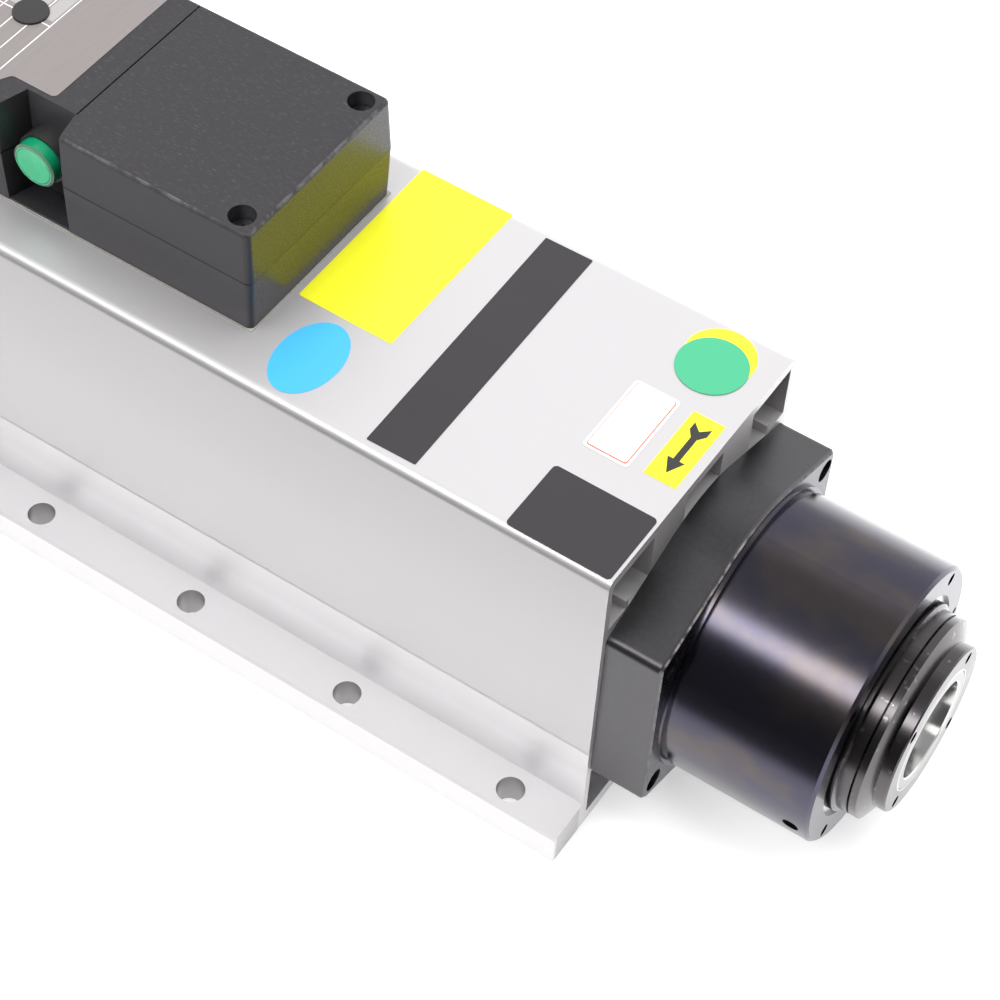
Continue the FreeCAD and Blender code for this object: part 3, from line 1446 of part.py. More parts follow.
def make_terminal_box_front_lid():
    body = new_body("terminal_box_front_lid")
    seam, height = f"({BOX_BOTTOM} + box_seam_height)", "(box_height - box_seam_height)"
    split = "(lid_split + lid_gap)"
    beyond = f"({SPREAD} + {PAST})"
    shape_lid(body, seam, height)
    behind = new_sketch(body, "front_lid_split", "XY_Plane", seam)
    draw_loop(behind, [
        (f"box_rear - {beyond}", f"{BOX_LOW} - {beyond}"),
        (NOTCH_MIDDLE, f"{BOX_LOW} - {beyond}"),
        (NOTCH_MIDDLE, f"{NOTCH_BACK} - fit_gap"),
        (split, f"{NOTCH_BACK} - fit_gap"),
        (split, f"{BOX_HIGH} + {beyond}"),
        (f"box_rear - {beyond}", f"{BOX_HIGH} + {beyond}"),
    ])
    pocket(body, behind)
    inside = new_sketch(body, "front_lid_inside", "XY_Plane", seam)
    draw_loop(inside, [
        (f"{split} + box_wall", f"{BOX_LOW} + box_wall + notch_depth / 2"),
        (f"{split} + box_wall + notch_rear_flare", f"{BOX_LOW} + box_wall"),
        ("box_front - box_wall", f"{BOX_LOW} + box_wall"),
        ("box_front - box_wall", f"{BOX_HIGH} - box_wall"),
        (f"{split} + box_wall", f"{BOX_HIGH} - box_wall"),
    ])
    pocket(body, inside, f"{height} - box_roof", reverse=True)
    finish_lid_screws(body, "front_lid", seam, height, lid_screw_places()[:2])


def make_terminal_box_rear_lid():
    body = new_body("terminal_box_rear_lid")
    seam, height = f"({BOX_BOTTOM} + box_seam_height)", "(box_height - box_seam_height)"
    beyond = f"({SPREAD} + {PAST})"
    shape_lid(body, seam, height)
    ahead = new_sketch(body, "rear_lid_split", "XY_Plane", seam)
    draw_loop(ahead, [
        (NOTCH_MIDDLE, f"{BOX_LOW} - {beyond}"),
        (f"box_front + {beyond}", f"{BOX_LOW} - {beyond}"),
        (f"box_front + {beyond}", f"{BOX_HIGH} + {beyond}"),
        ("lid_split", f"{BOX_HIGH} + {beyond}"),
        ("lid_split", f"{NOTCH_BACK} - fit_gap"),
        (NOTCH_MIDDLE, f"{NOTCH_BACK} - fit_gap"),
    ])
    pocket(body, ahead)
    inside = new_sketch(body, "rear_lid_inside", "XY_Plane", seam)
    draw_loop(inside, [
        ("box_rear + box_wall", f"{BOX_LOW} + box_wall"),
        ("notch_left - notch_rear_flare - box_wall", f"{BOX_LOW} + box_wall"),
        ("notch_left - box_wall", f"{NOTCH_BACK} + box_wall"),
        (f"lid_split + {PAST}", f"{NOTCH_BACK} + box_wall"),
        (f"lid_split + {PAST}", f"{BOX_HIGH} - box_wall"),
        ("box_rear + box_wall", f"{BOX_HIGH} - box_wall"),
    ])
    pocket(body, inside, f"{height} - box_roof", reverse=True)
    finish_lid_screws(body, "rear_lid", seam, height, lid_screw_places()[2:])
    cut_collar_hole(body)
    cut_connector_holes(body)
    stem = new_sketch(body, "plug_hole", "XY_Plane", f"{seam} + {height}")
    draw_circle(stem, "plug_place", "box_middle + plug_side", "plug_stem_radius + fit_gap")
    pocket(body, stem, f"box_roof + {PAST}")


def shape_lid(body, seam, height):
    """The whole upper half of the box, drafted, with rounded edges and the notch."""
    outline = new_sketch(body, f"{body.Name}_outline", "XY_Plane", seam)
    draw_box(outline, f"box_rear - {SPREAD}", f"box_front + {SPREAD}",
             f"{BOX_LOW} - {SPREAD}", f"{BOX_HIGH} + {SPREAD}")
    pad(body, outline, height, taper="-box_draft")
    round_box_corners(body)
    roof = number(f"{seam} + {height}")
    dress_edges(body, "Fillet", "box_edge_radius",
                lambda edge: abs(edge.BoundBox.ZMin - roof) < 0.01)
    cut_notch(body)


def finish_lid_screws(body, name, seam, height, places):
    """Posts inside, and a sunk hole for each socket screw."""
    add_screw_posts(body, f"{name}_posts", seam, f"{height} - box_roof", places)
    shanks = new_sketch(body, f"{name}_shanks", "XY_Plane", f"{seam} + {height}")
    heads = new_sketch(body, f"{name}_heads", "XY_Plane", f"{seam} + {height}")
    for x, y in places:
        draw_circle(shanks, x, y, "m4_shank + screw_clearance")
        draw_circle(heads, x, y, "m4_head + lid_head_clearance")
    pocket(body, shanks, height)
    pocket(body, heads, "lid_screw_sink + m4_head_height")


def make_gasket():
    body = new_body("terminal_box_gasket")
    outline = new_sketch(body, "gasket_outline", "XY_Plane", "body_height - axis_height")
    draw_box(outline, "box_rear - gasket_reach", "box_front + gasket_reach",
             f"{BOX_LOW} - gasket_reach", f"{BOX_HIGH} + gasket_reach")
    pad(body, outline, "gasket_thickness")


def make_blanking_plug():
    top = f"({BOX_BOTTOM} + box_height)"
    body = new_body("blanking_plug", x="plug_place", y="box_middle + plug_side")
    head = new_sketch(body, "plug_head", "XY_Plane", top)
    draw_circle(head, "0", "0", "plug_radius")
    pad(body, head, "plug_height")
    stem = new_sketch(body, "plug_stem", "XY_Plane", top)
    draw_circle(stem, "0", "0", "plug_stem_radius")
    pad(body, stem, "box_roof", reverse=True)


def make_connector(name, y, z):
    """A round flanged socket with a recessed insulator."""
    body = new_body(name, x="box_rear", y=y, z=f"axis_height + {z}")
    radius = f"{name}_radius"
    sketch = new_sketch(body, f"{name}_profile", "XZ_Plane")
    face = f"-({SPREAD})"
    draw_loop(sketch, [
        ("box_wall + connector_wall", "0"),
        ("box_wall + connector_wall", f"{radius} - connector_wall"),
        (face, f"{radius} - connector_wall"),
        (face, radius),
        (f"{face} - connector_flange", radius),
        (f"{face} - connector_flange", f"{radius} - connector_wall / 2"),
        (f"{face} - connector_length", f"{radius} - connector_wall / 2"),
        (f"{face} - connector_length", f"{radius} - connector_wall * 3 / 2"),
        (f"{face} - connector_length + connector_recess", f"{radius} - connector_wall * 3 / 2"),
        (f"{face} - connector_length + connector_recess", "0"),
    ])
    turn(body, sketch)


def make_terminal_block():
    body = new_body("terminal_block")
    base = f"{BOX_BOTTOM} + box_floor"
    low = "box_middle - block_width / 2"
    outline = new_sketch(body, "block_outline", "XY_Plane", base)
    draw_box(outline, "block_place - block_length / 2", "block_place + block_length / 2",
             low, f"{low} + block_width")
    pad(body, outline, "block_height")
    wells = new_sketch(body, "block_wells", "XY_Plane", f"{base} + block_height")
    for pole in range(int(number("block_pole_count"))):
        step = f"({pole} - (block_pole_count - 1) / 2)"
        along = f"block_place + block_length / block_pole_count * {step}"
        for side in ("", "-"):
            draw_circle(wells, along, f"box_middle + {side}block_width / 4", "block_well_radius")
    pocket(body, wells, "block_height / 2")


# Tool release button

BUTTON_FACE = "(box_middle - box_half_width + button_front)"
COLLAR_FACE = f"({BUTTON_FACE} + button_show)"
COLLAR_END = f"({COLLAR_FACE} + collar_length)"
WEB_FACE = f"({COLLAR_END} - collar_web)"
SPRING_INNER = "(button_stem_radius + button_spring_gap)"


def button_body(label, points):
    """A body turned about the button's axis, from (y, radius) pairs."""
    body = new_body(label, x="button_place",
                    z=f"axis_height + {BOX_BOTTOM} + box_seam_height")
    sketch = new_sketch(body, f"{label}_profile", "YZ_Plane")
    draw_loop(sketch, points)
    turn(body, sketch)
    return body


def make_release_button():
    back = f"{BUTTON_FACE} + button_length"
    button_body("release_button", [
        (BUTTON_FACE, "0"),
        (BUTTON_FACE, "button_radius - button_rim"),
        (f"{BUTTON_FACE} + button_edge", "button_radius"),
        (back, "button_radius"),
        (back, "button_radius - button_wall"),
        (f"{BUTTON_FACE} + button_cap_thickness", "button_radius - button_wall"),
        (f"{BUTTON_FACE} + button_cap_thickness", "button_stem_radius"),
        (f"{BUTTON_FACE} + button_stem_length", "button_stem_radius"),
        (f"{BUTTON_FACE} + button_stem_length", "0"),
    ])
    bore = "button_radius + collar_clearance"
    stem_hole = "button_stem_radius + collar_clearance"
    button_body("release_button_collar", [
        (COLLAR_FACE, bore),
        (COLLAR_FACE, f"{bore} + collar_wall"),
        (COLLAR_END, f"{bore} + collar_wall"),
        (COLLAR_END, stem_hole),
        (WEB_FACE, stem_hole),
        (WEB_FACE, bore),
    ])
    nut = f"{NOTCH_BACK} + box_wall"
    thread = f"{bore} + collar_wall + fit_gap"
    button_body("collar_nut", [
        (nut, thread),
        (nut, f"{thread} + collar_nut_wall"),
        (f"{nut} + collar_nut_thickness", f"{thread} + collar_nut_wall"),
        (f"{nut} + collar_nut_thickness", thread),
    ])
    button_body("button_spring", [
        (f"{BUTTON_FACE} + button_cap_thickness + fit_gap", SPRING_INNER),
        (f"{BUTTON_FACE} + button_cap_thickness + fit_gap", f"{SPRING_INNER} + button_spring_wire"),
        (f"{WEB_FACE} - fit_gap", f"{SPRING_INNER} + button_spring_wire"),
        (f"{WEB_FACE} - fit_gap", SPRING_INNER),
    ])


# Screws

def socket_screw(length):
    """An M4 socket screw along +X: the head lies from 0 to its height, the shank behind it."""
    height = number("m4_head_height")
    head = Part.makeCylinder(number("m4_head"), height, Vector(0, 0, 0), Vector(1, 0, 0))
    shank = Part.makeCylinder(number("m4_shank"), length, Vector(-length, 0, 0), Vector(1, 0, 0))
    corners = [
        Rotation(Vector(1, 0, 0), 60 * corner).multVec(Vector(height, 0, number("m4_socket")))
        for corner in range(7)
    ]
    socket = Part.Face(Part.makePolygon(corners)).extrude(
        Vector(-number("m4_socket_depth"), 0, 0)
    )
    return head.fuse(shank).cut(socket)


def make_screws(label, places, direction, length):
    """Screws whose heads point along direction, with the head's seat at each place."""
    turned = Rotation(Vector(1, 0, 0), direction)
    screws = []
    for place in places:
        screw = socket_screw(number(length))
        screw.Placement = Placement(Vector(*[number(item) for item in place]), turned)
        screws.append(screw)
    return new_feature(label, Part.makeCompound(screws))


def make_all_screws():
    corners = corner_places("plate_screw_side", "plate_screw_rise")
    make_screws(
        "front_housing_screws",
        [(f"{BODY_FRONT} + front_screw_seat", y, f"axis_height + {z}") for y, z in corners],
        Vector(1, 0, 0), "m4_length + m4_head_height",
    )
    rear_seat = f"{BODY_REAR} - rear_screw_seat"
    make_screws(
        "rear_housing_screws",
        [(rear_seat, y, f"axis_height + {z}") for y, z in corners],
        Vector(-1, 0, 0), "m4_length + m4_head_height",
    )
    make_screws(
        "cylinder_cap_screws",
        [(CAP_END, y, f"axis_height + {z}") for y, z in barrel_screw_places()],
        Vector(-1, 0, 0), f"{REAR_PLATE_BACK} - ({CAP_END}) + cap_screw_grip",
    )
    fan = corner_places("fan_hole_half_spacing", "fan_hole_half_spacing")
    make_screws(
        "fan_screws",
        [(GRILLE_END, y, f"axis_height + {z}") for y, z in fan],
        Vector(-1, 0, 0), "grille_thickness + fan_depth + cowl_wall",
    )
    cowl = []
    for side in ("", "-"):
        for rise in ("", "-"):
            cowl.append((side, rise))
    screws = []
    for side, rise in cowl:
        seat = [f"{BODY_REAR} - rear_plate_thickness / 2", f"{side}body_width / 2",
                f"axis_height + {rise}cowl_screw_rise"]
        screw = socket_screw(number("cowl_wall + cowl_screw_grip"))
        outward = Vector(0, -1 if side else 1, 0)
        screw.Placement = Placement(
            Vector(*[number(item) for item in seat]), Rotation(Vector(1, 0, 0), outward)
        )
        screws.append(screw)
    new_feature("cowl_screws", Part.makeCompound(screws))
    lid_seat = f"axis_height + {BOX_BOTTOM} + box_height - lid_screw_sink - m4_head_height"
    make_screws(
        "lid_screws",
        [(x, y, lid_seat) for x, y in lid_screw_places()],
        Vector(0, 0, 1),
        "box_height - box_seam_height - lid_screw_sink - m4_head_height + lid_screw_grip",
    )


# The whole spindle

make_body_extrusion()
make_front_bearing_housing()
make_front_seal_cover()
make_nose_ring()
make_spindle_shaft()
make_bearing_pair("front", SEAL_SEAT, "-")
make_bearing_pair("rear", REAR_SHOULDER, "-")
make_bearing_locknut()
make_rotor()
make_stator()
make_tool_clamp()
make_rear_bearing_housing()
make_release_cylinder()
make_release_piston()
make_cylinder_cap()
make_air_fittings()
make_rear_cowl()
make_fan_frame()
make_fan_rotor()
make_fan_grille()
make_gasket()
make_terminal_box_base()
make_terminal_box_front_lid()
make_terminal_box_rear_lid()
make_blanking_plug()
for connector in connector_places():
    make_connector(*connector)
make_terminal_block()
make_release_button()
make_all_screws()
doc.recompute()

for item in doc.Objects:
    if "Invalid" in item.State or "Error" in item.State:
        raise RuntimeError(f"{item.Label} failed: {item.State}")
for node in nodes:
    if node.Shape.isNull() or not node.Shape.isValid():
        raise RuntimeError(f"{node.Label} has no valid shape")

os.makedirs("parts", exist_ok=True)
for node in nodes:
    node.Shape.exportStep(f"parts/{node.Label}.step")
    solids = len(node.Shape.Solids)
    print(f"{node.Label}: {solids} solids, {node.Shape.Volume:.0f} mm3")
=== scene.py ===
import math

import bpy
import numpy as np
from mathutils import Matrix, Vector
from mathutils.geometry import tessellate_polygon


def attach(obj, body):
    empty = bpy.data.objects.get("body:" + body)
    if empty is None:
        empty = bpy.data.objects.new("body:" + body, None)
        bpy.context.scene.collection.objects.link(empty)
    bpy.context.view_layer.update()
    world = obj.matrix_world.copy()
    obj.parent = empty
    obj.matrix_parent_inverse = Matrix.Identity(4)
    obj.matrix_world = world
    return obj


# A motor spindle for a router: a pale aluminium body on foot rails, a black turned nose with
# a bright tapered socket, and a black terminal box with a green release button on top. Sizes
# are in metres, with X along the axis towards the nose and the foot rails on z = 0.
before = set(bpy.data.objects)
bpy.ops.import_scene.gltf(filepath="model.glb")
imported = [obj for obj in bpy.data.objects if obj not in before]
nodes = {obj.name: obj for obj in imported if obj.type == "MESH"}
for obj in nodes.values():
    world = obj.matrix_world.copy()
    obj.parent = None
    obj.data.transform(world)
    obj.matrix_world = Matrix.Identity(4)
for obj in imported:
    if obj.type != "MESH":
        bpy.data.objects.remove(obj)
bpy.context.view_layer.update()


class Value:
    """A shader node's output that takes part in Python expressions like a number."""

    tree = None

    def __init__(self, socket):
        self.socket = socket

    @classmethod
    def node(cls, kind, inputs, output=0, **settings):
        """Any shader node: its inputs by name or place, and the output that is wanted."""
        node = cls.tree.nodes.new("ShaderNode" + kind)
        for name, value in settings.items():
            setattr(node, name, value)
        for name, value in inputs.items():
            cls.put(node.inputs[name], value)
        return cls(node.outputs[output])

    @classmethod
    def put(cls, socket, value):
        if isinstance(value, Value):
            cls.tree.links.new(value.socket, socket)
        else:
            socket.default_value = value

    def maths(self, operation, *others):
        return self.node("Math", dict(enumerate((self, *others))), operation=operation)

    def __add__(self, other):
        return self.maths("ADD", other)

    def __sub__(self, other):
        return self.maths("SUBTRACT", other)

    def __mul__(self, other):
        return self.maths("MULTIPLY", other)

    def __truediv__(self, other):
        return self.maths("DIVIDE", other)

    def __pow__(self, other):
        return self.maths("POWER", other)

    def __neg__(self):
        return self.maths("MULTIPLY", -1.0)

    def __rsub__(self, other):
        return self.node("Math", {0: other, 1: self}, operation="SUBTRACT")

    __radd__ = __add__
    __rmul__ = __mul__

    def step(self, low, high):
        """0 below low, 1 above high and a smooth rise between."""
        return self.node("MapRange", {"Value": self, "From Min": low, "From Max": high},
                         interpolation_type="SMOOTHSTEP")

    def part(self, name):
        """One of X, Y and Z of a vector."""
        return self.node("SeparateXYZ", {0: self}, output="XYZ".index(name))

    def mix(self, low, high):
        """The colour low where this is 0, and high where it is 1."""
        return self.node("Mix", {0: self, 6: low, 7: high}, output=2, data_type="RGBA")

    def hypotenuse(self, other):
        """The long side over this and the other as the two short sides of a right angle."""
        return (self * self + other * other) ** 0.5

    def scaled(self, x, y, z):
        return self.node("VectorMath", {0: self, 1: (x, y, z)}, operation="MULTIPLY")

    def noise(self, scale, detail=3.0, rough=0.5):
        return self.node("TexNoise", {"Vector": self, "Scale": scale, "Detail": detail,
                                      "Roughness": rough})

    def bump(self, distance, strength=1.0):
        return self.node("Bump", {"Height": self, "Distance": distance, "Strength": strength})


def grey(level, tint=(1, 1, 1)):
    """An opaque colour of one brightness, leaning to the tint."""
    return (level * tint[0], level * tint[1], level * tint[2], 1.0)


def principled(name, looks):
    """A material whose looks(place, facing) gives the shader's inputs by name."""
    material = bpy.data.materials.new(name)
    material.use_nodes = True
    Value.tree = material.node_tree
    place = Value.node("TexCoord", {}, output=3)
    facing = Value.node("NewGeometry", {}, output=3)
    shader = material.node_tree.nodes["Principled BSDF"]
    for key, value in looks(place, facing).items():
        Value.put(shader.inputs[key], value)
    return material


def dress(material, *names):
    """Give CAD nodes a material."""
    for name in names:
        mesh = nodes[name].data
        mesh.materials.clear()
        mesh.materials.append(material)


# Body: one aluminium extrusion, clear anodised, with drawn lines along its length and milled
# ends. The foot rails on both sides are bored for the machine's bolts. The rails are painted
# palest, as painted light, and the upright sides above the skirt and the walls of the bolt holes
# are painted darker, as painted shade.
def extrusion_looks(place, facing):
    rail_root, skirt_top = 0.024, 0.0388
    holes_inner, holes_outer = 0.0520, 0.0650
    sideways = place.part("Y").maths("ABSOLUTE")
    drawn = place.scaled(6, 900, 900).noise(1.0, 4.0)
    broad = place.scaled(3, 30, 30).noise(1.0, 2.0)
    along = facing.part("X")
    end = (along * along).step(0.8, 0.95)
    milled = place.scaled(1, 300, 1600).noise(1.0, 2.0)
    rail_painted_light = 1 - place.part("Z").step(rail_root, rail_root + 0.006)
    upright = 1 - facing.part("Z").maths("ABSOLUTE").step(0.3, 0.6)
    among_holes = (sideways.step(holes_inner, holes_inner + 0.0015)
                   * (1 - sideways.step(holes_outer, holes_outer + 0.0008)))
    hole_walls_painted_shade = upright * rail_painted_light * among_holes
    side_painted_light = upright * place.part("Z").step(skirt_top, skirt_top + 0.0003)
    # Painted light: the rails are painted paler, and the upright sides and the bolt holes' walls
    # darker, as painted shade.
    tone = 0.4 + broad * 0.05 + drawn * 0.03 - side_painted_light * 0.32 + rail_painted_light * 0.15 - hole_walls_painted_shade * 0.7
    return {
        "Base Color": tone.mix(grey(0.5, (1.0, 0.975, 0.99)), grey(0.9, (1.0, 0.985, 1.0))),
        "Metallic": 0.62 - rail_painted_light * 0.14 + hole_walls_painted_shade * 0.3,
        "Roughness": 0.42 + drawn * 0.08 - end * 0.1,
        "Normal": (drawn * (1 - end) + milled * end).bump(0.00002, 0.35),
    }


dress(principled("clear_anodised_aluminium", extrusion_looks), "body_extrusion")


# Front bearing housing: a milled plate and a turned cylinder in one piece of blackened steel,
# bolted to the body's end. The plate is satin, and the cylinder keeps its turning lines under a
# film of oil, with brown and lilac stains. The chamfer round the plate's face is worn paler in
# patches, and along the slanted edge it is far paler, as a painted highlight.
def housing_looks(place, facing):
    plate_face, slant_foot = 0.1912, 0.0935
    turned = place.part("X").step(plate_face - 0.0007, plate_face)
    rings = place.scaled(2600, 3, 3).noise(1.0, 3.0)
    grain = place.scaled(700, 700, 700).noise(1.0, 3.0)
    stain = place.scaled(22, 34, 34).noise(1.0, 3.0, 0.6)
    lilac, brown = grey(0.074, (0.92, 0.88, 1.22)), grey(0.09, (1.08, 0.94, 0.95))
    cylinder = stain.step(0.47, 0.66).mix(lilac, brown)
    plate = grain.mix(grey(0.085, (1.0, 0.96, 1.02)), grey(0.11, (1.0, 0.97, 1.02)))
    forward = facing.part("X")
    chamfer = forward.step(0.45, 0.6) * (1 - forward.step(0.8, 0.9))
    paler_parts = place.scaled(420, 420, 420).noise(1.0, 4.0).step(0.36, 0.6)
    slanted = (place.part("Z").step(slant_foot, slant_foot + 0.002)
               * (1 - place.part("Y").step(-0.012, 0.002)))
    rim = (place.part("X").step(plate_face - 0.0010, plate_face - 0.0006)
           * (1 - place.part("X").step(plate_face, plate_face + 0.0002)))
    # The pale chamfer: wear in patches, and along the slanted edge a painted highlight.
    wear_and_highlight = chamfer * paler_parts * rim * (0.12 + slanted * 0.8)
    return {
        "Base Color": wear_and_highlight.mix(turned.mix(plate, cylinder), grey(0.5, (1.0, 0.93, 0.9))),
        "Metallic": 1.0,
        "Roughness": turned * (-0.22 + 0.08 * stain) + 0.36 + grain * 0.06,
        "Normal": (rings * turned * 0.6 + grain * (1 - turned)).bump(0.000012, 0.4),
    }


dress(principled("blackened_housing", housing_looks), "front_bearing_housing")


# Labyrinth at the nose: a fixed collar, let into the housing's face, and a turning ring on the
# shaft, both turned from steel and blackened. The collar's flange and the ring's inner edge
# are bright.
def labyrinth_looks(place, facing):
    axis_height, flange, inner_edge = 0.0613, 0.03405, 0.0193
    radius = (place.part("Z") - axis_height).hypotenuse(place.part("Y"))
    rings = (radius * 9000.0).maths("SINE") * 0.3 + place.scaled(2600, 400, 400).noise(1.0, 2.0)
    stain = place.scaled(60, 60, 60).noise(1.0, 3.0)
    bright = radius.step(flange, flange + 0.00015)
    edge = (radius.step(inner_edge, inner_edge + 0.0002)
            * (1 - radius.step(inner_edge + 0.0005, inner_edge + 0.0007)))
    rubbed = place.scaled(300, 300, 300).noise(1.0, 4.0).step(0.62, 0.70)
    paler_parts = rubbed * 0.25 + bright + edge
    black = stain.mix(grey(0.075, (1.0, 0.95, 1.08)), grey(0.10, (1.05, 0.95, 0.92)))
    return {
        "Base Color": paler_parts.maths("MINIMUM", 1.0).mix(black, grey(0.62)),
        "Metallic": 1.0,
        "Roughness": 0.17 + stain * 0.1,
        "Normal": rings.bump(0.00001, 0.3),
    }


dress(principled("blackened_labyrinth", labyrinth_looks), "front_seal_cover", "nose_ring")


# Spindle shaft: hardened steel, ground all over, with a polished 7:24 taper and a dark end
# face. The bearings' rings and balls and the tool clamp inside have the same ground steel.
def ground_looks(place, facing):
    lines = place.scaled(3000, 20, 20).noise(1.0, 3.0)
    haze = place.scaled(80, 80, 80).noise(1.0, 2.0)
    end = facing.part("X").step(0.9, 0.97)
    bright = haze.mix(grey(0.50, (1.0, 0.985, 0.97)), grey(0.58))
    return {
        "Base Color": (end * 0.85).mix(bright, grey(0.08)),
        "Metallic": 1.0,
        "Roughness": 0.12 + lines * 0.06,
        "Normal": lines.bump(0.000006, 0.3),
    }


dress(principled("ground_steel", ground_looks), "spindle_shaft", "front_bearing_outer_rings",
      "front_bearing_inner_rings", "front_bearing_balls", "rear_bearing_outer_rings",
      "rear_bearing_inner_rings", "rear_bearing_balls", "drawbar", "tool_gripper")


# Terminal box: a base and two lids moulded from black plastic with a fine grain, screwed to the
# body's top. It is scuffed paler on top, and its rounded top edges are paler in patches, partly as
# wear and partly as a painted highlight. Its sides facing the front are painted paler, as painted
# light. A dark seam runs between the halves.
def box_looks(place, facing):
    seam_height, seam_half = 0.142, 0.00025
    grain = place.scaled(2200, 2200, 2200).noise(1.0, 3.0)
    scuff = place.scaled(420, 2600, 900).noise(1.0, 4.0).step(0.57, 0.70)
    upward = facing.part("Z")
    edge = upward.step(0.2, 0.45) * (1 - upward.step(0.85, 0.97))
    # The rounded top edges: partly wear, partly a painted highlight.
    edge_wear_and_highlight = edge * place.scaled(120, 120, 120).noise(1.0, 5.0, 0.7).step(0.42, 0.62)
    front = facing.part("X").step(0.9, 0.98)
    side_painted_light = (-facing.part("Y")).step(0.6, 0.9)
    paler_parts = edge_wear_and_highlight * 0.65 + scuff * (0.05 + upward.step(0.85, 0.97) * 0.22)
    off_seam = (place.part("Z") - seam_height).maths("ABSOLUTE")
    seam = 1 - off_seam.step(seam_half, seam_half + 0.0002)
    # The sides facing the front are painted paler, as painted light.
    bare = side_painted_light.mix(grey(0.028, (1.0, 0.94, 1.06)), grey(0.062, (1.0, 0.94, 1.04)))
    plastic = paler_parts.mix(bare, grey(0.15, (1.0, 0.97, 1.03)))
    return {
        "Base Color": seam.mix(plastic, grey(0.006)),
        "Roughness": 0.42 + grain * 0.12 - front * 0.2,
        "Specular IOR Level": 0.45,
        "Normal": (grain - seam * 6).bump(0.00003, 0.35),
    }


box_plastic = principled("grained_box_plastic", box_looks)
dress(box_plastic, "terminal_box_base", "terminal_box_front_lid", "terminal_box_rear_lid")


# Gasket: a thin pale foam sheet, cut to the box's foot and squeezed out a little under it.
dress(principled("pale_gasket_foam", lambda place, facing: {
    "Base Color": place.scaled(900, 900, 900).noise(1.0).mix(grey(0.3, (1.0, 1.0, 0.7)), grey(0.5)),
    "Roughness": 0.8,
    "Normal": place.scaled(1500, 1500, 1500).noise(1.0).bump(0.0001, 0.4),
}), "terminal_box_gasket")


# Release button: a glossy green moulding with a paler face, a dark ring and a grey rim. It
# slides in a black collar that is clamped in the box's wall.
def button_looks(place, facing):
    middle_x, middle_z, ring_radius, rim_radius = -0.0401, 0.142, 0.0062, 0.0066
    front = (-facing.part("Y")).step(0.7, 0.95)
    cloud = place.scaled(250, 250, 250).noise(1.0, 2.0)
    face = cloud.mix((0.015, 0.78, 0.34, 1), (0.02, 0.88, 0.40, 1))
    reach = (place.part("X") - middle_x).hypotenuse(place.part("Z") - middle_z)
    rim = reach.step(rim_radius, rim_radius + 0.0002) * front
    ring = (1 - (reach - ring_radius).maths("ABSOLUTE").step(0.0001, 0.00025)) * front
    plastic = ring.mix(front.mix((0.006, 0.26, 0.12, 1), face), (0.01, 0.22, 0.10, 1))
    return {
        "Base Color": rim.mix(plastic, grey(0.20, (0.95, 1.0, 0.85))),
        "Roughness": 0.2 + cloud * 0.06,
        "Coat Weight": 0.15,
        "Subsurface Weight": 0.1,
        "Subsurface Scale": 0.002,
    }


dress(principled("green_button_plastic", button_looks), "release_button")


# Small black mouldings: the button's collar and its nut, the plug, the connectors, the fan and
# the piston's seal. They are injection moulded, with a fine satin grain.
def moulded_looks(place, facing):
    grain = place.scaled(1600, 1600, 1600).noise(1.0, 3.0)
    return {
        "Base Color": grain.mix(grey(0.018), grey(0.032)),
        "Roughness": 0.38 + grain * 0.15,
        "Normal": grain.bump(0.00003, 0.3),
    }


dress(principled("black_moulding", moulded_looks), "release_button_collar", "collar_nut",
      "blanking_plug", "power_connector", "signal_connector", "fan_frame", "fan_rotor",
      "fan_grille", "piston_seal")


# Rear cowl: bent and welded sheet under fine black powder coat, screwed to the rear housing.
def coated_looks(place, facing):
    orange_peel = place.scaled(420, 420, 420).noise(1.0, 2.0)
    return {
        "Base Color": orange_peel.mix(grey(0.022), grey(0.034)),
        "Roughness": 0.45 + orange_peel * 0.1,
        "Normal": orange_peel.bump(0.0002, 0.3),
    }


dress(principled("black_powder_coat", coated_looks), "rear_cowl")


# Screws, fittings and springs: black socket screws on the housings, zinc plated ones on the cowl
# and fan, nickel plated air fittings and spring steel. All have one mottled metal, from a dark
# to a light colour. The lid's black screws are painted paler than the others, as painted light on
# their heads deep in the wells.
def mottled_metal(dark, light, rough):
    """The looks of a plain metal that varies between two colours."""
    def looks(place, facing):
        mottle = place.scaled(700, 700, 700).noise(1.0, 3.0)
        return {
            "Base Color": mottle.mix(dark, light),
            "Metallic": 1.0,
            "Roughness": rough + mottle * 0.15,
            "Normal": mottle.bump(0.00003, 0.3),
        }
    return looks


dress(principled("black_oxide_screws", mottled_metal(grey(0.03), grey(0.08), 0.3)),
      "front_housing_screws", "rear_housing_screws", "bearing_locknut", "drawbar_nut",
      "cylinder_cap_screws")
# The lid screws are painted paler than the other black screws, as painted light.
dress(principled("lid_screws_painted_paler", mottled_metal(grey(0.2), grey(0.32), 0.25)), "lid_screws")
dress(principled("zinc_screws", mottled_metal(grey(0.5), grey(0.65), 0.25)),
      "cowl_screws", "fan_screws")
nickel_dark, nickel_light = grey(0.6, (1, 0.96, 0.9)), grey(0.7, (1, 0.97, 0.92))
dress(principled("nickel_brass", mottled_metal(nickel_dark, nickel_light, 0.12)), "air_fittings")
dress(principled("spring_steel", mottled_metal(grey(0.3), grey(0.42), 0.3)),
      "disc_springs", "button_spring")


# Machined aluminium inside and behind: release cylinder, piston, cap and rotor end rings, with
# fine turning lines. The rear bearing housing beside them is blackened.
dress(principled("machined_aluminium", lambda place, facing: {
    "Base Color": place.scaled(1800, 60, 60).noise(1.0).mix(grey(0.6), grey(0.75)),
    "Metallic": 1.0,
    "Roughness": 0.28 + place.scaled(1800, 60, 60).noise(1.0) * 0.15,
}), "release_cylinder", "release_piston", "cylinder_cap", "rotor_end_rings")
dress(principled("blackened_rear_housing", mottled_metal(grey(0.05), grey(0.08), 0.35)),
      "rear_bearing_housing")


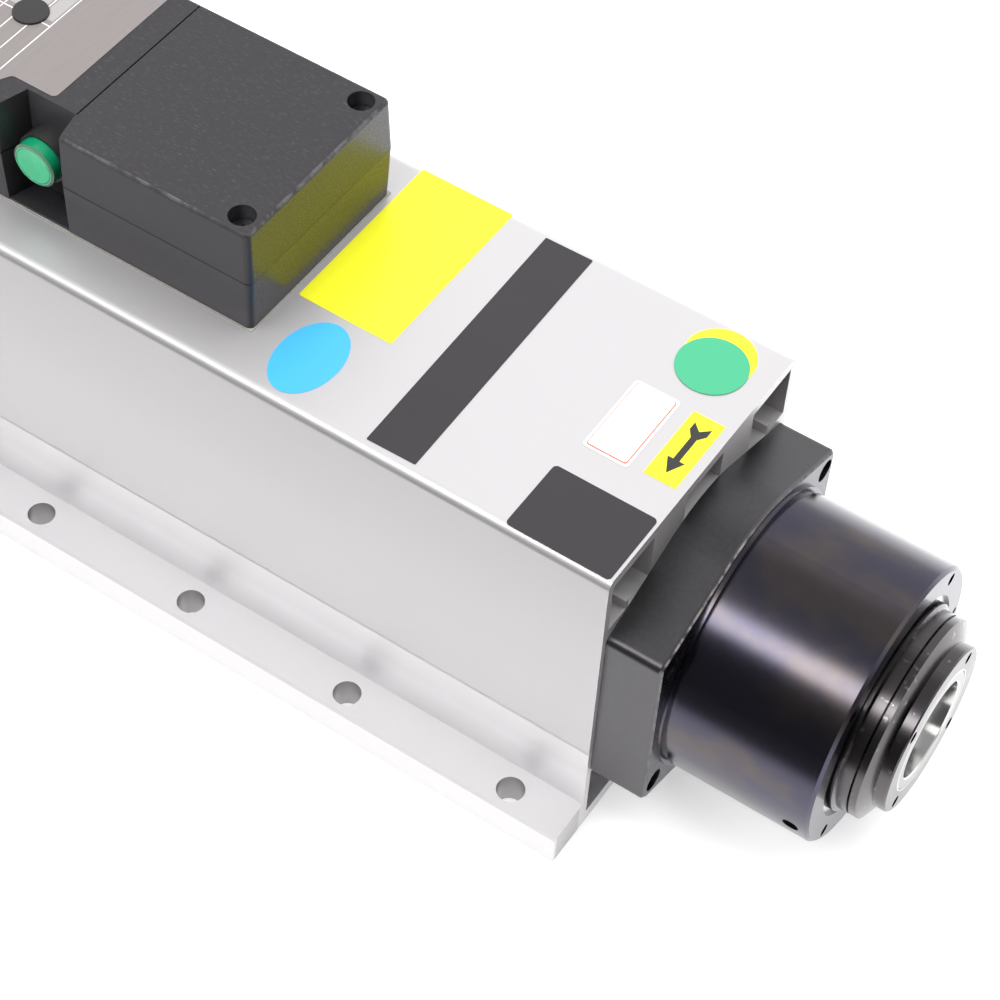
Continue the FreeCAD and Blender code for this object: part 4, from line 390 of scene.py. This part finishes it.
# Motor and bearings inside: stacked laminations, varnished windings and brass cages. The
# terminal block in the box is grey moulding.
dress(principled("stacked_laminations", lambda place, facing: {
    "Base Color": (place.part("X") * 12000.0).maths("SINE").step(-0.6, 0.6).mix(
        grey(0.16), grey(0.3)),
    "Metallic": 0.9,
    "Roughness": 0.4 + place.scaled(300, 300, 300).noise(1.0) * 0.2,
}), "rotor_core", "stator_core")
dress(principled("varnished_windings", lambda place, facing: {
    "Base Color": place.scaled(300, 900, 900).noise(1.0).mix(
        (0.25, 0.05, 0.02, 1), (0.5, 0.16, 0.05, 1)),
    "Roughness": 0.25 + place.scaled(90, 90, 90).noise(1.0) * 0.2,
    "Normal": place.scaled(300, 900, 900).noise(1.0).bump(0.0005, 0.6),
}), "stator_winding_ends")
brass_dark, brass_light = (0.55, 0.36, 0.12, 1), (0.66, 0.46, 0.18, 1)
dress(principled("cage_brass", mottled_metal(brass_dark, brass_light, 0.25)),
      "front_bearing_cages", "rear_bearing_cages")
dress(principled("grey_moulding", lambda place, facing: {
    "Base Color": place.scaled(900, 900, 900).noise(1.0).mix(grey(0.16), grey(0.2)),
    "Roughness": 0.5 + place.scaled(900, 900, 900).noise(1.0) * 0.1,
}), "terminal_block")


# Labels on the body's top: thin sheets of vinyl with round corners, stuck on, some over each
# other. They are bare but for a plain arrow. Their places are in millimetres from the body's
# front end, which is at x = FRONT_END.
BODY_TOP = 0.122
FRONT_END = 172.5
THICK = 0.00015


def rounded(corners, radius, steps=6):
    """A polygon whose corners are replaced by arcs of the radius, as points in a row."""
    corners = np.asarray(corners, float)
    points = []
    for index, corner in enumerate(corners):
        before = corners[index - 1] - corner
        after = corners[(index + 1) % len(corners)] - corner
        before /= np.linalg.norm(before)
        after /= np.linalg.norm(after)
        half = math.acos(np.clip(before @ after, -1, 1)) / 2
        middle = corner + (before + after) / np.linalg.norm(before + after) * (
            radius / math.sin(half))
        start = corner + before * radius / math.tan(half) - middle
        finish = corner + after * radius / math.tan(half) - middle
        first, last = math.atan2(start[1], start[0]), math.atan2(finish[1], finish[0])
        sweep = (last - first + math.pi) % (2 * math.pi) - math.pi
        for part in np.linspace(0, 1, steps):
            angle = first + sweep * part
            points.append(middle + radius * np.array([math.cos(angle), math.sin(angle)]))
    return np.array(points)


def rectangle(x_low, x_high, y_low, y_high, turned=0.0):
    """Four corners in metres, turned by degrees about their middle."""
    middle = np.array([(x_low + x_high) / 2, (y_low + y_high) / 2])
    corners = np.array([(x_low, y_low), (x_high, y_low), (x_high, y_high), (x_low, y_high)])
    angle = math.radians(turned)
    turn = np.array([[math.cos(angle), -math.sin(angle)], [math.sin(angle), math.cos(angle)]])
    return ((corners - middle) @ turn.T + middle) / 1000


def ellipse(x, y, half_x, half_y, steps=64):
    """Points of an ellipse about (x, y), sizes in millimetres."""
    angle = np.linspace(0, 2 * math.pi, steps, endpoint=False)
    return np.stack([x + half_x * np.cos(angle), y + half_y * np.sin(angle)], 1) / 1000


def sheet(name, outline, bottom, material, holes=(), thickness=THICK):
    """A flat sheet with upright rims, whose underside lies at the height bottom."""
    loops = [np.asarray(loop, float) for loop in (outline, *holes)]
    points = np.concatenate(loops)
    count = len(points)
    faces = []
    for a, b, c in tessellate_polygon([[Vector((x, y, 0)) for x, y in loop] for loop in loops]):
        first, second = points[b] - points[a], points[c] - points[a]
        upward = (a, b, c) if first[0] * second[1] > first[1] * second[0] else (c, b, a)
        faces.append([count + corner for corner in upward])
        faces.append(list(reversed(upward)))
    start = 0
    for order, loop in enumerate(loops):
        following = np.roll(loop, -1, axis=0)
        area = (loop[:, 0] * following[:, 1] - following[:, 0] * loop[:, 1]).sum()
        for step in range(len(loop)):
            a, b = start + step, start + (step + 1) % len(loop)
            if (area > 0) != (order == 0):
                a, b = b, a
            faces.append([a, b, count + b, count + a])
        start += len(loop)
    rings = [np.column_stack([points, np.full(count, bottom + rise)]) for rise in (0, thickness)]
    mesh = bpy.data.meshes.new(name)
    mesh.from_pydata(np.concatenate(rings).tolist(), [], faces)
    mesh.materials.append(material)
    thing = bpy.data.objects.new(name, mesh)
    bpy.context.scene.collection.objects.link(thing)
    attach(thing, "housing")


def vinyl(name, colour, rough=0.3):
    """A softly waved sheet whose colour varies a little."""
    other = tuple(c * 0.92 for c in colour[:3]) + (1,)
    return principled(name, lambda place, facing: {
        "Base Color": place.scaled(60, 60, 60).noise(1.0, 2.0).mix(other, colour),
        "Roughness": rough + place.scaled(200, 200, 200).noise(1.0, 2.0) * 0.08,
        "Normal": place.scaled(90, 90, 90).noise(1.0, 2.0).bump(0.0002, 0.15),
    })


yellow = vinyl("yellow_vinyl", (0.93, 0.92, 0.03, 1))
blue = vinyl("blue_vinyl", (0.06, 0.42, 0.90, 1))
black = vinyl("black_vinyl", (0.030, 0.027, 0.030, 1), rough=0.35)
green = vinyl("green_vinyl", (0.06, 0.42, 0.22, 1))
white = vinyl("white_vinyl", (0.85, 0.84, 0.84, 1))
red = vinyl("red_print", (0.75, 0.2, 0.15, 1))
ink = vinyl("black_ink", (0.03, 0.03, 0.03, 1))


def on_body(name, x_low, x_high, y_low, y_high, material, corner=0.8, turned=0.0, lift=0.0):
    """A rectangular label with round corners, all in millimetres but the lift."""
    corners = rectangle(x_low + FRONT_END, x_high + FRONT_END, y_low, y_high, turned)
    sheet(name, rounded(corners, corner / 1000), BODY_TOP + lift, material)


on_body("yellow_panel", -131, -98, -14, 50, yellow)
sheet("blue_oval", ellipse(-114 + FRONT_END, -32, 10, 15), BODY_TOP, blue)
on_body("black_strip", -84, -67.5, -47, 48, black, corner=0.4, turned=1.0)
sheet("yellow_disc", ellipse(-18 + FRONT_END, 37.5, 11, 11), BODY_TOP, yellow)
sheet("green_disc", ellipse(-18 + FRONT_END, 33, 11, 11), BODY_TOP + THICK, green)
on_body("white_label", -33, -18, -13.5, 16, white, corner=1.2)
on_body("white_label_frame", -32.2, -18.8, -12.6, 15.1, red, corner=0.9, lift=THICK)
on_body("white_label_field", -31.9, -19.1, -12.3, 14.8, white, corner=0.8, lift=2 * THICK)
on_body("arrow_label", -13.5, -3, -12, 15.5, yellow, corner=0.4)
on_body("corner_label", -35, -1, -49.5, -24, black, corner=1.5)
half_arrow = [(2.8, -3), (1, -3), (1, 6.5), (2.8, 9), (2.8, 12)]
other_half = [(-x, y) for x, y in reversed(half_arrow)]
arrow = np.array([(0, -8.5), *half_arrow, (0, 9.5), *other_half]) + (FRONT_END - 8.2, 0)
sheet("arrow_print", arrow / 1000, BODY_TOP + THICK, ink)


# Nameplate: a thin grey plate stuck on the rear lid, cut round the button's notch and the plug,
# with the bare lines and fields of a ruled table.
LID_TOP = 0.161


def nameplate_looks(place, facing):
    row_height, column_line, blur = 5.9, 1.0, 0.2
    x, y = place.part("X") * 1000, place.part("Y") * 1000
    within = (x.step(-101 - blur, -101) * (1 - x.step(-59.5, -59.5 + blur))
              * y.step(-26 - blur, -26) * (1 - y.step(28.6, 28.6 + blur)))
    off_middle = (((x + 101) / row_height).maths("FRACT") - 0.5).maths("ABSOLUTE")
    ruled = off_middle.step(0.465, 0.475)
    upright = 1 - (y - column_line).maths("ABSOLUTE").step(0.15, 0.25)
    field = y.step(3.0, 3.0 + blur) * (1 - off_middle.step(0.38, 0.39))
    brushed = place.scaled(1500, 60, 60).noise(1.0, 3.0)
    ground = brushed.mix(grey(0.18, (1.08, 0.97, 0.95)), grey(0.22, (1.08, 0.98, 0.97)))
    printed = (ruled + upright).maths("MINIMUM", 1.0) * within
    pale = (field * within * 0.35).mix(ground, grey(0.6))
    return {
        "Base Color": printed.mix(pale, grey(0.78)),
        "Roughness": 0.34 + brushed * 0.1,
        "Normal": brushed.bump(0.00001, 0.3),
    }


plate_corners = np.array([(-39.2, -21.6), (-39.2, 32.5), (-105, 32.5), (-105, -30), (-59.5, -30),
                          (-55, -21.6)]) / 1000
sheet("nameplate", rounded(plate_corners, 0.0018), LID_TOP,
      principled("printed_nameplate", nameplate_looks), holes=[ellipse(-68.2, 2.5, 5.6, 5.6)])


# Notch floor: the photograph shows the box's black floor under the button, where the CAD's notch
# goes through. A thin sheet of the same plastic closes it just above the box's foot, with a
# hair's gap to the notch's walls.
notch = np.array([(-47.9, -23.4), (-50.8, -33.5), (-28.2, -33.5), (-30.2, -23.4)]) / 1000
sheet("notch_floor", notch, BODY_TOP + 0.0006, box_plastic, thickness=0.0008)


# Screw hole: a thin black disc with a paler rim, painted with the shade of the small dark screw
# hole in the side of the nose cylinder, where the photograph shows it. The CAD's own hole is on
# the underside, about 30 degrees away.
SCREW_X = 0.2350
SCREW_ANGLE = 253.7
SCREW_RADIUS = 0.0026


def screw_hole_shade_looks(place, facing):
    screw_z = 0.0486
    reach = (place.part("X") - SCREW_X).hypotenuse(place.part("Z") - screw_z)
    rim = reach.step(SCREW_RADIUS - 0.0005, SCREW_RADIUS - 0.0003)
    return {
        "Base Color": rim.mix(grey(0.004), grey(0.02)),
        "Roughness": 0.5 + place.scaled(900, 900, 900).noise(1.0) * 0.2,
        "Specular IOR Level": 0.0,
        "IOR": 1.0,
    }


def disc_on_cylinder(name, x, angle, disc_radius, material, steps=48, rings=4):
    """A thin disc bent round the nose cylinder. A point at the distance d from the disc's middle
    has the radius R + lift * (1 - d / (2 * disc_radius)) about the spindle's axis, and the
    angle of the middle plus its sideways place / R.
    """
    nose_radius, axis_height, lift = 0.0453, 0.0613, 0.00006
    points, faces = [(x, 0.0)], []
    for ring in range(1, rings + 1):
        turn = np.linspace(0, 2 * math.pi, steps, endpoint=False)
        reach = disc_radius * ring / rings
        points += list(zip(x + reach * np.cos(turn), reach * np.sin(turn)))
    for step in range(steps):
        following = (step + 1) % steps
        faces.append([0, 1 + following, 1 + step])
        for ring in range(rings - 1):
            a, b = 1 + ring * steps, 1 + (ring + 1) * steps
            faces.append([a + step, a + following, b + following, b + step])
    flat = np.array(points)
    from_middle = np.hypot(flat[:, 0] - x, flat[:, 1])
    height = nose_radius + lift * (1 - from_middle / disc_radius * 0.5)
    around = math.radians(angle) + flat[:, 1] / nose_radius
    bent = np.column_stack([flat[:, 0], height * np.sin(around),
                            axis_height + height * np.cos(around)])
    mesh = bpy.data.meshes.new(name)
    mesh.from_pydata(bent.tolist(), [], faces)
    mesh.materials.append(material)
    thing = bpy.data.objects.new(name, mesh)
    bpy.context.scene.collection.objects.link(thing)
    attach(thing, "housing")


disc_on_cylinder("nose_screw_hole_shade", SCREW_X, SCREW_ANGLE, SCREW_RADIUS,
                 principled("painted_screw_hole_shade", screw_hole_shade_looks))


# Camera: the photograph's place, direction and lens, worked out from the body's edges.
camera_data = bpy.data.cameras.new("photo_camera")
camera_data.sensor_width = 36.0
camera_data.lens = 98.04
camera_data.clip_end = 20.0
camera = bpy.data.objects.new("photo_camera", camera_data)
bpy.context.scene.collection.objects.link(camera)
right = (0.8314191, 0.55411045, 0.04127814)
up = (-0.45549624, 0.63713524, 0.62175708)
back = (0.31822234, -0.53574275, 0.78212163)
turn = Matrix((right, up, back)).transposed().to_4x4()
turn.translation = (0.3710, -0.4459, 0.7095)
camera.matrix_world = turn
bpy.context.scene.camera = camera


# Studio: a white table, soft light all round that is brighter behind and dark in front, one soft
# box in front, high up, and a wide lamp overhead that no glossy surface mirrors.
floor_mesh = bpy.data.meshes.new("white_table")
half = 6.0
corners = [(-half, -half, 0), (half, -half, 0), (half, half, 0), (-half, half, 0)]
floor_mesh.from_pydata(corners, [], [(0, 1, 2, 3)])
floor = bpy.data.objects.new("white_table", floor_mesh)
bpy.context.scene.collection.objects.link(floor)


def table_glow(near):
    """The table's own light, lower at its front; the camera sees all of it white."""
    seen = Value.node("LightPath", {}, output=0)
    mirrored = Value.node("LightPath", {}, output=3)
    glow = near * (0.2 + mirrored * 0.24) + seen * (0.26 + (1 - near) * 0.7)
    return glow.mix(grey(0), grey(1))


def table_looks(place, facing):
    dark_edge, bright_edge = -0.26, -0.14
    near = place.part("Y").step(dark_edge, bright_edge)
    return {
        # The table's front is painted dark, as painted shade for the glossy parts to mirror; its
        # glow makes it white to the camera.
        "Base Color": near.mix(grey(0.1), grey(0.9)),
        "Roughness": 0.9,
        "Specular IOR Level": 0.0,
        "Emission Color": table_glow(near),
        "Emission Strength": 1.0,
    }


floor_mesh.materials.append(principled("table_white", table_looks))

world = bpy.data.worlds.new("studio")
bpy.context.scene.world = world
world.use_nodes = True
Value.tree = world.node_tree
way = Value.node("TexCoord", {}, output=0)
across = way.part("Y")
height = way.part("Z")
front_light, back_light, top_light, box_light = 0.12, 1.0, 0.5, 8.0
behind = across.step(-0.25, 0.3)
overhead = height.step(0.78, 0.93)
room = front_light + behind * back_light
room = room * (1 - overhead) + overhead * top_light
box_rise, box_bearing = math.radians(51), math.radians(-109)
lean = (way.part("X") - math.cos(box_rise) * math.cos(box_bearing)).maths("ABSOLUTE")
tilt = (height - math.sin(box_rise)).maths("ABSOLUTE")
in_front = 1 - across.step(-0.35, -0.2)
soft_box = (1 - lean.step(0.25, 0.4)) * (1 - tilt.step(0.04, 0.12)) * in_front
camera_ray = Value.node("LightPath", {}, output=0)
strength = (room + soft_box * box_light) * (1 - camera_ray) + camera_ray
Value.put(world.node_tree.nodes["Background"].inputs["Strength"], strength)
Value.put(world.node_tree.nodes["Background"].inputs["Color"], (1, 1, 1, 1))

lamp_data = bpy.data.lights.new("overhead", "AREA")
lamp_data.shape = "RECTANGLE"
lamp_data.size = 1.6
lamp_data.size_y = 1.2
lamp_data.energy = 26.0
lamp = bpy.data.objects.new("overhead", lamp_data)
lamp.location = (0.1, 0.05, 1.6)
lamp.visible_glossy = False
bpy.context.scene.collection.objects.link(lamp)

bpy.context.scene.view_settings.view_transform = "Standard"
